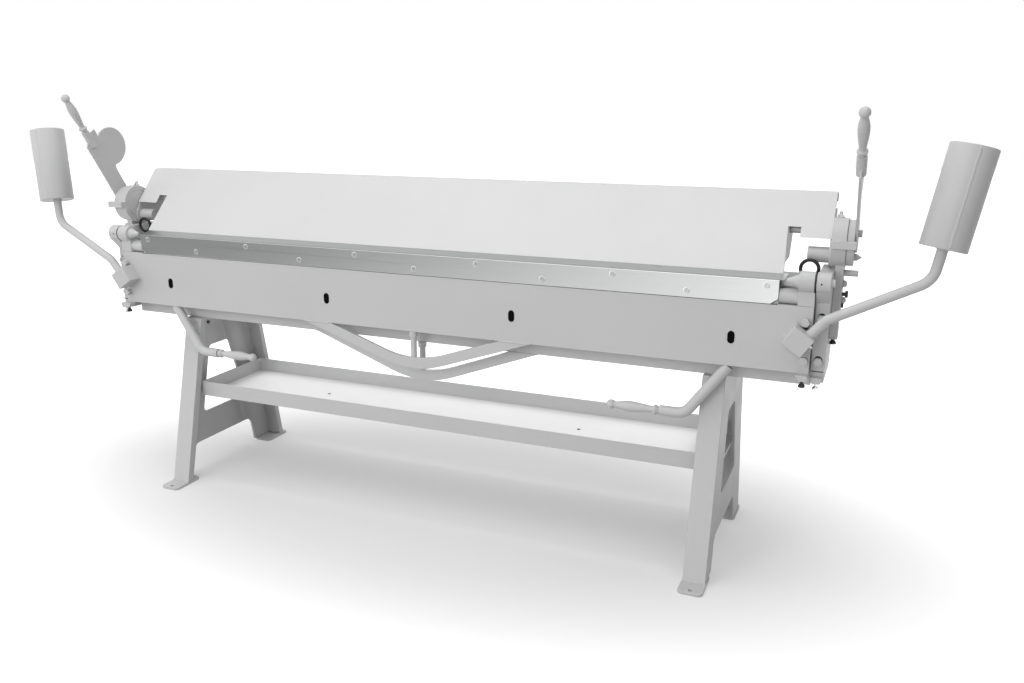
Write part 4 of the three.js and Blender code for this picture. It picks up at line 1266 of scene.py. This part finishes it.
    def add_bolts(self) -> None:
        """Sets the bolts of the side frames, the arms and the rings, with a thin black disc of
        painted shade above each frame bolt for the dark of its slotted hole.
        """
        shop = self.shop
        front, outer, dark, top = [], [], [], []
        face = apron_face() + self.frame_setback
        hole_shade_disc = [(-self.bolt_hole_depth, self.bolt_hole_radius), (SEAT, self.bolt_hole_radius)]
        for side in Side:
            middle = middle_of(side.named("side_frame")).x
            for number, height in enumerate(self.frame_bolt_heights, 1):
                seat = Vector((middle, face, height))
                front.append((seat, FORWARD, self.frame_bolt_radius))
                name, place = side.named(f"bolt_hole_{number}"), seat + UP * self.bolt_hole_rise
                hole = turned_mesh(name, hole_shade_disc, place, FORWARD, sides=48)
                self.dresser.add(hole, Body.FRAME, shop.black_steel)
            knob = side.named("arm_knob")
            plate, back = reach_of(knob)[0], middle_of(knob).y
            for height in self.arm_bolt_heights:
                seat = side.mirror(Vector((plate, back, height)))
                outer.append((seat, side.outward, self.arm_bolt_radius))
            seat = Vector((plate, back - self.lock_nut_forward, self.lock_nut_height))
            dark.append((side.mirror(seat), side.outward, self.dark_nut_radius))
            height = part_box(side.named("clamp_arm"))[1].z - self.ring_bolt_sunk
            seat = Vector((plate - self.ring_bolt_inset, back + self.ring_bolt_back, height))
            top.append((side.mirror(seat), Vector(self.ring_bolt_way), self.arm_bolt_radius))
        place = self.bolts.place
        place("frame_bolts", Body.FRAME, front, shop.frame_paint)
        place("arm_bolts", Body.FRAME, outer, shop.frame_paint, self.arm_stud, washer=True)
        place("arm_lock_nuts", Body.FRAME, dark, shop.black_steel)
        place("ring_bolts", Body.FRAME, top, shop.zinc, self.ring_stud, washer=True)


@dataclass
class Counterweight:
    """A round weight with stepped ends and a welded seam, measured on the right end."""

    dresser: Dresser
    low: Vector
    high: Vector
    radius: float = 0.0536
    rim: float = 0.0022
    rim_width: float = 2.2
    rim_round: float = 0.3
    cap_depth: float = 0.0012
    cap_step: tuple[float, float] = (0.0002, 0.0008)
    cap_middle: float = 0.0006
    seam_front: Triple = (0.18, -1, 0)
    seam_height: float = 0.0007
    seam_width: float = 0.0045
    seam_root: float = 0.003
    seam_margin: float = 0.004
    seam_steps: int = 60
    seam_section: Pairs = field(
        default_factory=lambda: [(-1, -0.6), (-0.55, 0.6), (0, 1.0), (0.55, 0.6), (1, -0.6)]
    )
    seam_sways: Pairs = field(default_factory=lambda: [(0.0006, 1.7), (0.0004, 0.6)])

    def build(self, side: Side) -> None:
        """Turns one weight.

        Args:
            side: the end of the machine.
        """
        low, high = side.mirror(self.low), side.mirror(self.high)
        length = (high - low).length
        radius, rim, bend = self.radius, self.rim, self.rim * self.rim_round
        inner = radius - self.rim_width * rim
        half = [
            (self.cap_depth, self.cap_middle), (self.cap_depth, inner),
            (self.cap_step[0], inner + self.cap_step[1]), (0.0, radius - rim),
            (bend, radius - bend), (rim, radius),
        ]
        profile = half + [(length - along, out) for along, out in reversed(half)]
        mesh = turned_mesh(side.named("weight"), profile, low, high - low, sides=96)
        self.dresser.stand(mesh, side.named("counterweight"))
        self.add_seam(side, low, high)

    def add_seam(self, side: Side, low: Vector, high: Vector) -> None:
        """Adds the raised weld seam along one weight.

        Args:
            side: the end of the machine.
            low: the middle of the weight's lower face.
            high: the middle of its upper face.
        """
        axis = (high - low).normalized()
        front = Vector(self.seam_front)
        front = (front - axis * front.dot(axis)).normalized()
        across = axis.cross(front)
        length = (high - low).length - 2 * self.seam_margin
        rings = []
        for i in range(self.seam_steps + 1):
            along = self.seam_margin + length * i / self.seam_steps
            sway = sum(size * math.sin(i * rate) for size, rate in self.seam_sways)
            middle = low + axis * along
            ring = []
            for share, rise in self.seam_section:
                offset = share * self.seam_width + sway
                depth = math.sqrt(self.radius**2 - offset**2) + self.seam_height * rise
                ring.append(middle + front * depth + across * offset)
            ring.append(middle + front * (self.radius - self.seam_root) + across * sway)
            rings.append(ring)
        self.dresser.add(lofted(side.named("weight_seam"), rings, crease=math.pi), Body.APRON)


@dataclass
class Apron(Assembly):
    """The folding apron with its strip, brackets, handles and counterweights."""

    plate_edge: float = 0.0011
    strip_edge: float = 0.001
    block_edge: float = 0.0022
    small_edge: float = 0.0005
    bed_height: float = 0.829
    bracket_bolts: Pairs = field(default_factory=lambda: [(1.1, 0.73), (1.102, 0.632)])
    bracket_bolt_radius: float = 0.0115
    spacer_length: float = 0.008
    spacer_share: float = 0.72
    # Painted shadow: a black nut-shaped disc set low under each upper bracket bolt head, standing
    # for the shadow below the head.
    shade_nut_drop: float = 0.0115
    dark_nut_radius: float = 0.0085
    set_screw_radius: float = 0.0042
    set_screw_shift: float = 0.004
    set_screw_forward: float = 0.02025
    set_screw_stud: float = 2.6
    slot_places: tuple[float, ...] = (-0.92, -0.308, 0.308, 0.92)
    slot_drop: float = 0.1565
    # Painted shade: the black pills in the apron's slots, standing for the dark inside them.
    shade_radius: float = 0.0092
    slot_shade_half: float = 0.0073
    slot_shade_proud: float = 0.0006
    slot_shade_depth: float = 0.0008
    slot_shade_steps: int = 14
    # Painted shadow: the height of the black line under the ground strip.
    strip_shadow_height: float = 0.0013
    block_place: Triple = (1.088, 0.0, -0.142)
    block_along: float = 0.055
    block_across: float = 0.059
    block_tilt: float = math.radians(56)
    block_bead: float = 0.0028
    socket_offset: float = 0.0137
    tube: BentTube = field(default_factory=BentTube)
    tube_bead: float = 0.0022
    elbow_low: Triple = (1.148, -0.0225, -0.0865)
    elbow_reach: float = 0.076
    elbow_bends: tuple[float, float] = (0.045, 0.06)
    weight_low: Triple = (1.387, -0.001, 0.1)
    weight_high: Triple = (1.429, 0.029, 0.332)
    handle_tube: BentTube = field(default_factory=lambda: BentTube(radius=0.0145))
    handle_top: Triple = (0.918, 0.014, -0.2334)
    handle_bend: Triple = (0.811, 0.0, -0.378)
    handle_end: float = 0.744
    handle_radius: float = 0.046
    handle_gap: float = 0.004
    grip: TurnedGrip = field(default_factory=lambda: TurnedGrip(belly_radius=0.0148))

    def build(self) -> None:
        """Dresses the apron and rebuilds its round parts finely."""
        self.dresser.dress("apron_beam", self.plate_edge)
        self.dresser.dress("apron_strip", self.strip_edge)
        Truss(
            self.dresser, self.welds, "apron_truss", Body.APRON, self.plate_edge,
            "apron_truss_post_turned",
        ).build()
        self.dresser.dress_pair("apron_bracket", self.plate_edge)
        self.dresser.dress_pair("socket_block", self.block_edge)
        self.dresser.dress_pair("apron_screw", self.small_edge)
        low, high = self.point(self.weight_low), self.point(self.weight_high)
        weight = Counterweight(self.dresser, low, high)
        for side in Side:
            corners = self.tube_corners(side)
            tube = self.tube.mesh(side.named("weight_tube"), corners, list(self.elbow_bends))
            self.dresser.stand(tube, side.named("counterweight_tube"))
            weight.build(side)
            self.add_handle(side)
        self.add_bolts()
        self.add_slot_shades()
        self.add_shadow_under_strip()
        self.add_welds()
        StripScrews(self.dresser).build()

    def point(self, offset: Triple) -> Vector:
        """A point given from the bed's height and the apron's face."""
        return Vector((offset[0], apron_face() + offset[1], self.bed_height + offset[2]))

    def block_axes(self) -> tuple[Vector, Vector]:
        """The directions along and across the tilted socket block."""
        cosine, sine = math.cos(self.block_tilt), math.sin(self.block_tilt)
        return Vector((cosine, 0, sine)), Vector((sine, 0, -cosine))

    def tube_corners(self, side: Side) -> list[Vector]:
        """The ends and corners of one counterweight's tube.

        Args:
            side: the end of the machine.

        Returns:
            The points from the socket block to the weight.
        """
        along, across = self.block_axes()
        elbow, low = self.point(self.elbow_low), self.point(self.weight_low)
        start = self.point(self.block_place) + along * (self.block_along / 2 + SEAT)
        start += across * self.socket_offset
        start.y = elbow.y
        axis = (self.point(self.weight_high) - low).normalized()
        corners = (start, elbow, low - axis * self.elbow_reach, low - axis * SEAT)
        return [side.mirror(corner) for corner in corners]

    def add_handle(self, side: Side) -> None:
        """Builds one bent handle with its turned grip.

        Args:
            side: the end of the machine.
        """
        top, bend = self.point(self.handle_top), self.point(self.handle_bend)
        end = Vector((self.handle_end, bend.y, bend.z))
        top -= (top - bend).normalized() * self.handle_gap
        corners = [side.mirror(corner) for corner in (top, bend, end)]
        bar = self.handle_tube.mesh(side.named("handle_bar"), corners, [self.handle_radius])
        self.dresser.stand(bar, side.named("handle_tube"))
        node, ball = side.named("handle_grip"), self.grip.ball_radius
        end.x -= ball
        length = end.x - reach_of(node)[0]
        place = side.mirror(end)
        name = side.named("handle_turning")
        grip = self.grip.mesh(name, length, SEAT - ball, place, -side.outward)
        self.dresser.stand(grip, node)

    def add_bolts(self) -> None:
        """Sets the long bolts of the end brackets, on round spacers, the small screws, and a black
        nut-shaped disc of painted shadow low under each upper bracket bolt head.
        """
        shop, face = self.shop, apron_face()
        seats, nuts, screws = [], [], []
        along, across = self.block_axes()
        screw = self.point(self.block_place) + across * (self.block_across / 2)
        screw += along * self.set_screw_shift
        screw.y = face - self.set_screw_forward
        radius = self.bracket_bolt_radius * self.spacer_share
        profile = [(0.0, radius), (self.spacer_length, radius)]
        for side in Side:
            x, z = self.bracket_bolts[0]
            nut = Vector((side.value * x, face, z - self.shade_nut_drop))
            nuts.append((nut, FORWARD, self.dark_nut_radius))
            screws.append((side.mirror(screw), side.mirror(across), self.set_screw_radius))
            for x, z in self.bracket_bolts:
                foot = Vector((side.value * x, face, z))
                seat = foot + FORWARD * self.spacer_length
                seats.append((seat, FORWARD, self.bracket_bolt_radius))
                name = f"bracket_spacer_{len(seats)}"
                self.dresser.add(turned_mesh(name, profile, foot, FORWARD, sides=40), Body.APRON)
        place = self.bolts.place
        place("bracket_bolts", Body.APRON, seats, shop.frame_paint)
        place("bracket_lock_nuts", Body.APRON, nuts, shop.black_steel)
        place("set_screws", Body.APRON, screws, shop.zinc, self.set_screw_stud, washer=True)

    def add_slot_shades(self) -> None:
        """Painted shade: flat black pills that close the apron's four slots, standing for the dark
        inside them.
        """
        face = apron_face() - self.slot_shade_proud
        height = self.bed_height - self.slot_drop
        for number, place in enumerate(self.slot_places, 1):
            outline = []
            for half, start in ((self.slot_shade_half, 0.0), (-self.slot_shade_half, math.pi)):
                for i in range(self.slot_shade_steps + 1):
                    angle = start + math.pi * i / self.slot_shade_steps
                    x = place + self.shade_radius * math.cos(angle)
                    outline.append((x, height + half + self.shade_radius * math.sin(angle)))
            mesh = upright_slab(f"slot_plug_{number}", outline, face, face + self.slot_shade_depth)
            self.dresser.add(mesh, Body.APRON, self.shop.slot_shade_finish)

    def add_shadow_under_strip(self) -> None:
        """Painted shadow: a thin black line under the ground strip, where its shade falls on the
        apron.
        """
        low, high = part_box("apron_strip")
        top, bottom = low.z + SEAT, low.z - self.strip_shadow_height
        outline = [(low.x, bottom), (high.x, bottom), (high.x, top), (low.x, top)]
        face = apron_face()
        mesh = upright_slab("strip_seam", outline, face - SEAT, face + SEAT)
        self.dresser.add(mesh, Body.APRON, self.shop.black_steel)

    def add_welds(self) -> None:
        """Beads round the socket blocks and the counterweights' tubes."""
        along, across = (
            way * size / 2
            for way, size in zip(self.block_axes(), (self.block_along, self.block_across))
        )
        centre = self.point(self.block_place)
        runs, rings = [], []
        for side in Side:
            corners = ((-1, -1), (-1, 1), (1, 1), (1, -1), (-1, -1))
            runs.append([side.mirror(centre + along * a + across * b) for a, b in corners])
            path = self.tube_corners(side)
            rings.append(ring_run(path[0], path[1] - path[0], self.tube.radius))
            rings.append(ring_run(path[3], path[3] - path[2], self.tube.radius))
        self.welds.lay("block_welds", Body.APRON, runs, self.block_bead)
        self.welds.lay("tube_welds", Body.APRON, rings, self.tube_bead)


@dataclass
class UpperBeam:
    """The sloped cover, its core, the nose blade and their carriers."""

    dresser: Dresser
    sheet_edge: float = 0.0012
    nose_edge: float = 0.0003
    small_edge: float = 0.0008

    def build(self) -> None:
        """Dresses the beam's nodes."""
        self.dresser.dress("upper_cover", self.sheet_edge)
        self.dresser.dress("upper_core", self.sheet_edge)
        self.dresser.dress("nose_blade", self.nose_edge, self.dresser.shop.shaded_nose_steel)
        self.dresser.dress_pair("beam_hanger", self.small_edge)
        self.dresser.dress_pair("beam_shaft", self.small_edge)


@dataclass
class ClampLever:
    """One clamping lever with its eccentric, plate, grip and nut."""

    dresser: Dresser
    side: Side
    lean: float
    plate_edge: float = 0.0009
    disc_edge: float = 0.0014
    small_edge: float = 0.0005
    grip: TurnedGrip = field(default_factory=TurnedGrip)
    hub_height: float = 0.915
    collar_up: float = 0.297
    holder_high: float = 0.284
    grip_length: float = 0.1223

    def build(self) -> None:
        """Dresses the lever and turns its grip."""
        side, paint = self.side, self.dresser.shop.frame_paint
        self.dresser.dress(side.named("eccentric"), self.disc_edge)
        self.dresser.dress(side.named("lever_plate"), self.plate_edge)
        self.dresser.dress(side.named("lever_nut"), self.small_edge, paint)
        node = side.named("lever_grip")
        way = Vector((0, -math.sin(self.lean), math.cos(self.lean)))
        hub = Vector((middle_of(node).x, middle_of(side.named("arm_knob")).y, self.hub_height))
        start = self.holder_high - self.collar_up + SEAT
        place = hub + way * self.collar_up
        mesh = self.grip.mesh(side.named("lever_turning"), self.grip_length, start, place, way)
        self.dresser.stand(mesh, node)


def hide(obj: Object, rays: tuple[str, ...]) -> None:
    """Hides an object from kinds of rays."""
    for ray in rays:
        setattr(obj, f"visible_{ray}", False)


@dataclass(frozen=True)
class Lamp:
    """A soft area lamp that looks at a target."""

    name: str
    place: Triple
    target: Triple
    size: tuple[float, float]
    watts: float
    hidden_from: tuple[str, ...] = ()
    spread: float = math.pi

    def hang(self) -> None:
        """Adds the lamp to the scene."""
        data = bpy.data.lights.new(self.name, "AREA")
        data.shape = "RECTANGLE"
        data.size, data.size_y = self.size
        data.energy = self.watts
        data.spread = self.spread
        lamp = link(self.name, data)
        lamp.location = self.place
        way = Vector(self.target) - Vector(self.place)
        lamp.rotation_euler = way.to_track_quat("-Z", "Y").to_euler()
        hide(lamp, self.hidden_from)


def white_when_seen(tree: NodeTree) -> Socket:
    """A factor that is 1 for camera, glossy and transmission rays.

    Args:
        tree: the material's or the world's tree.

    Returns:
        The factor's socket.
    """
    rays = add_node(tree, "ShaderNodeLightPath").outputs
    seen = rays["Is Camera Ray"]
    for ray in ("Is Glossy Ray", "Is Transmission Ray"):
        either = add_node(tree, "ShaderNodeMath", {0: seen, 1: rays[ray]}, operation="MAXIMUM")
        seen = either.outputs[0]
    return seen


@dataclass
class Studio:
    """A bright floor, soft lamps, a card for the steel's reflections, flags and the camera."""

    floor_half: float = 16.0
    floor_colour: float = 0.52
    floor_roughness: float = 0.9
    floor_specular: float = 0.1
    near_glow: float = 0.27
    far_glow: float = 1.0
    glow_start: float = 0.4
    glow_end: float = 1.35
    glow_shape: Triple = (0.55, 1.0, 1.0)
    sky_light: float = 0.6
    card_low: Triple = (-11.0, -9.0, 0.03)
    card_high: Triple = (0.9, -1.3, 3.2)
    card_fade: float = -3.8
    card_left: float = 0.26
    card_right: float = 1.12
    flag_colour: float = 0.05
    side_flag_place: float = 2.3
    side_flag_depth: tuple[float, float] = (-0.8, 2.2)
    side_flag_height: tuple[float, float] = (0.3, 2.6)
    leg_flag_insets: tuple[float, float] = (0.004, 0.014)
    leg_flag_front: float = 0.14
    leg_flag_rear: float = 0.24
    leg_flag_foot: float = 0.02
    leg_flag_drop: float = 0.03
    middle: Triple = (0.0, 0.0, 0.7)
    tray_lamp_drop: float = 0.012
    tray_lamp_margin: tuple[float, float] = (0.06, 0.03)
    tray_lamp_spread: float = math.radians(30)
    camera_place: Triple = (1.2812, -2.4639, 1.2639)
    camera_yaw: float = 22.835
    camera_pitch: float = 14.892
    camera_roll: float = -0.05
    camera_reach: float = 60.0
    focal_pixels: float = 911.93
    image_width: float = 1024.0
    sensor: float = 36.0

    def build(self) -> None:
        """Sets the stage."""
        self.add_floor()
        self.add_card()
        self.add_flags()
        self.add_world()
        self.add_lamps()
        self.add_camera()

    def add_sheet(
        self, name: str, corners: list[Triple], faces: list[tuple[int, ...]],
        material: Material, hidden_from: tuple[str, ...] = (),
    ) -> None:
        """Adds flat faces that belong to the stage.

        Args:
            name: the sheet's name.
            corners: its corners.
            faces: the corners of each face.
            material: its material.
            hidden_from: the kinds of rays that don't meet it.
        """
        mesh = bpy.data.meshes.new(name)
        mesh.from_pydata(corners, [], faces)
        mesh.materials.append(material)
        sheet = link(name, mesh)
        hide(sheet, hidden_from)

    def add_floor(self) -> None:
        """Adds the pale floor: it keeps the machine's shadow and turns white further out."""
        material, shader = new_material("studio_floor")
        tree = material.node_tree
        feed(shader, {
            "Base Color": (self.floor_colour,) * 3 + (1.0,),
            "Roughness": self.floor_roughness,
            "Specular IOR Level": self.floor_specular,
        })
        place = add_node(tree, "ShaderNodeTexCoord").outputs["Object"]
        shape = {0: place, 1: self.glow_shape}
        stretch = add_node(tree, "ShaderNodeVectorMath", shape, operation="MULTIPLY")
        reach = add_node(
            tree, "ShaderNodeVectorMath", {0: stretch.outputs[0]}, operation="LENGTH"
        )
        fade = add_node(tree, "ShaderNodeMapRange", {
            "Value": reach.outputs["Value"],
            "From Min": self.glow_start,
            "From Max": self.glow_end,
            "To Min": self.near_glow,
            "To Max": self.far_glow,
        }, interpolation_type="SMOOTHSTEP")
        factors = {0: white_when_seen(tree), 1: fade.outputs["Result"]}
        strength = add_node(tree, "ShaderNodeMath", factors, operation="MULTIPLY")
        glow = add_node(tree, "ShaderNodeEmission", {"Strength": strength.outputs[0]})
        both = add_node(tree, "ShaderNodeAddShader", {0: shader.outputs[0], 1: glow.outputs[0]})
        feed(tree.nodes["Material Output"], {"Surface": both.outputs[0]})
        half = self.floor_half
        corners = [(-half, -half, 0), (half, -half, 0), (half, half, 0), (-half, half, 0)]
        self.add_sheet("floor", corners, [(0, 1, 2, 3)], material)

    def add_card(self) -> None:
        """Adds the grey card behind the camera that only the steel's reflections see."""
        (left, far, low), (right, near, high) = self.card_low, self.card_high
        material, _ = new_material("card_grey")
        tree = material.node_tree
        place = add_node(tree, "ShaderNodeTexCoord").outputs["Object"]
        fade = add_node(tree, "ShaderNodeMapRange", {
            "Value": add_node(tree, "ShaderNodeSeparateXYZ", {0: place}).outputs["X"],
            "From Min": self.card_fade,
            "From Max": right,
            "To Min": self.card_left,
            "To Max": self.card_right,
        })
        glow = add_node(tree, "ShaderNodeEmission", {"Strength": fade.outputs["Result"]})
        feed(tree.nodes["Material Output"], {"Surface": glow.outputs[0]})
        corners = [
            (left, near, low), (right, near, low), (right, far, low), (left, far, low),
            (left, far, high), (right, far, high),
        ]
        rays = ("camera", "diffuse", "shadow", "transmission")
        self.add_sheet("reflection_card", corners, [(0, 1, 2, 3), (3, 2, 5, 4)], material, rays)

    def add_flags(self) -> None:
        """Adds the dark flags: one on the right and one in front of each rear leg's inner face."""
        x = self.side_flag_place
        (near, far), (low, high) = self.side_flag_depth, self.side_flag_height
        corners = [(x, near, low), (x, far, low), (x, far, high), (x, near, high)]
        self.add_flag("side_flag", corners, ("shadow",))
        for side in Side:
            node = side.named("leg_frame")
            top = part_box(node)[1]
            near, far = reach_of(node)
            inner = side.value * (near + self.leg_flag_insets[0])
            outer = side.value * (far - self.leg_flag_insets[1])
            foot, head = self.leg_flag_foot, top.z - self.leg_flag_drop
            front, rear = top.y - self.leg_flag_front, top.y - self.leg_flag_rear
            corners = [
                (inner, front, foot), (outer, front, foot), (outer, rear, head),
                (inner, rear, head),
            ]
            self.add_flag(side.named("leg_flag"), corners)

    def add_flag(self, name: str, corners: list[Triple], rays: tuple[str, ...] = ()) -> None:
        """Adds a dark card that takes soft light away and is itself unseen.

        Args:
            name: the flag's name.
            corners: its four corners.
            rays: more kinds of rays that don't meet it.
        """
        material, shader = new_material(f"{name}_dark")
        feed(shader, {"Base Color": (self.flag_colour,) * 3 + (1.0,)})
        hidden = ("camera", "glossy", "transmission", *rays)
        self.add_sheet(name, corners, [(0, 1, 2, 3)], material, hidden)

    def add_world(self) -> None:
        """Lights the scene softly from all round, white where it is seen."""
        world = bpy.data.worlds.new("studio")
        bpy.context.scene.world = world
        world.use_nodes = True
        tree = world.node_tree
        tree.nodes.clear()
        soft, seen = (
            add_node(tree, "ShaderNodeBackground", {"Color": (1.0,) * 4, "Strength": strength})
            for strength in (self.sky_light, 1.0)
        )
        mix = add_node(tree, "ShaderNodeMixShader", {
            0: white_when_seen(tree), 1: soft.outputs[0], 2: seen.outputs[0],
        })
        add_node(tree, "ShaderNodeOutputWorld", {"Surface": mix.outputs[0]})

    def add_lamps(self) -> None:
        """Hangs the overhead softbox, two side fills and the strip over the tray."""
        low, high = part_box("tray")
        y = middle_of("tray").y
        above = (0.0, y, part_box("lower_beam")[0].z - self.tray_lamp_drop)
        width, depth = self.tray_lamp_margin
        size = (high.x - low.x - width, high.y - low.y - depth)
        gloss, mid = ("glossy",), self.middle
        for lamp in (
            Lamp("overhead", (0.3, -0.6, 4.6), mid, (6.0, 3.4), 90.0),
            Lamp("front_fill", (-1.2, -5.2, 2.3), mid, (3.0, 2.6), 90.0, gloss),
            Lamp("left_fill", (-4.4, -1.8, 1.5), mid, (2.0, 2.0), 22.0, gloss),
            Lamp("tray_strip", above, (0.0, y, 0.0), size, 1.5, (*gloss, "camera"),
                 self.tray_lamp_spread),
        ):
            lamp.hang()

    def add_camera(self) -> None:
        """Sets the camera at the photograph's viewing angle."""
        data = bpy.data.cameras.new("camera")
        data.sensor_width = self.sensor
        data.lens = self.focal_pixels / self.image_width * self.sensor
        data.clip_end = self.camera_reach
        camera = link("camera", data)
        camera.location = self.camera_place
        aim = Matrix.Identity(4)
        turns = ((self.camera_yaw, "Z"), (90 - self.camera_pitch, "X"), (self.camera_roll, "Z"))
        for angle, axis in turns:
            aim = aim @ Matrix.Rotation(math.radians(angle), 4, axis)
        camera.rotation_euler = aim.to_euler()
        bpy.context.scene.camera = camera


def main() -> None:
    """Dresses the machine, part by part, and sets the stage."""
    logging.basicConfig(level=logging.INFO, format="%(name)s: %(message)s")
    dresser = Dresser(PaintShop())
    makers = (dresser, HexBoltMaker(dresser), WeldMaker(dresser))
    for part in (
        Stand(*makers),
        LowerBeam(*makers),
        Apron(*makers),
        UpperBeam(dresser),
        ClampLever(dresser, Side.RIGHT, math.radians(38)),
        ClampLever(dresser, Side.LEFT, math.radians(30.2)),
        Studio(),
    ):
        part.build()
        log.info("%s is in place", type(part).__name__)
    bpy.context.scene.view_settings.view_transform = "Standard"


if __name__ == "__main__":
    main()
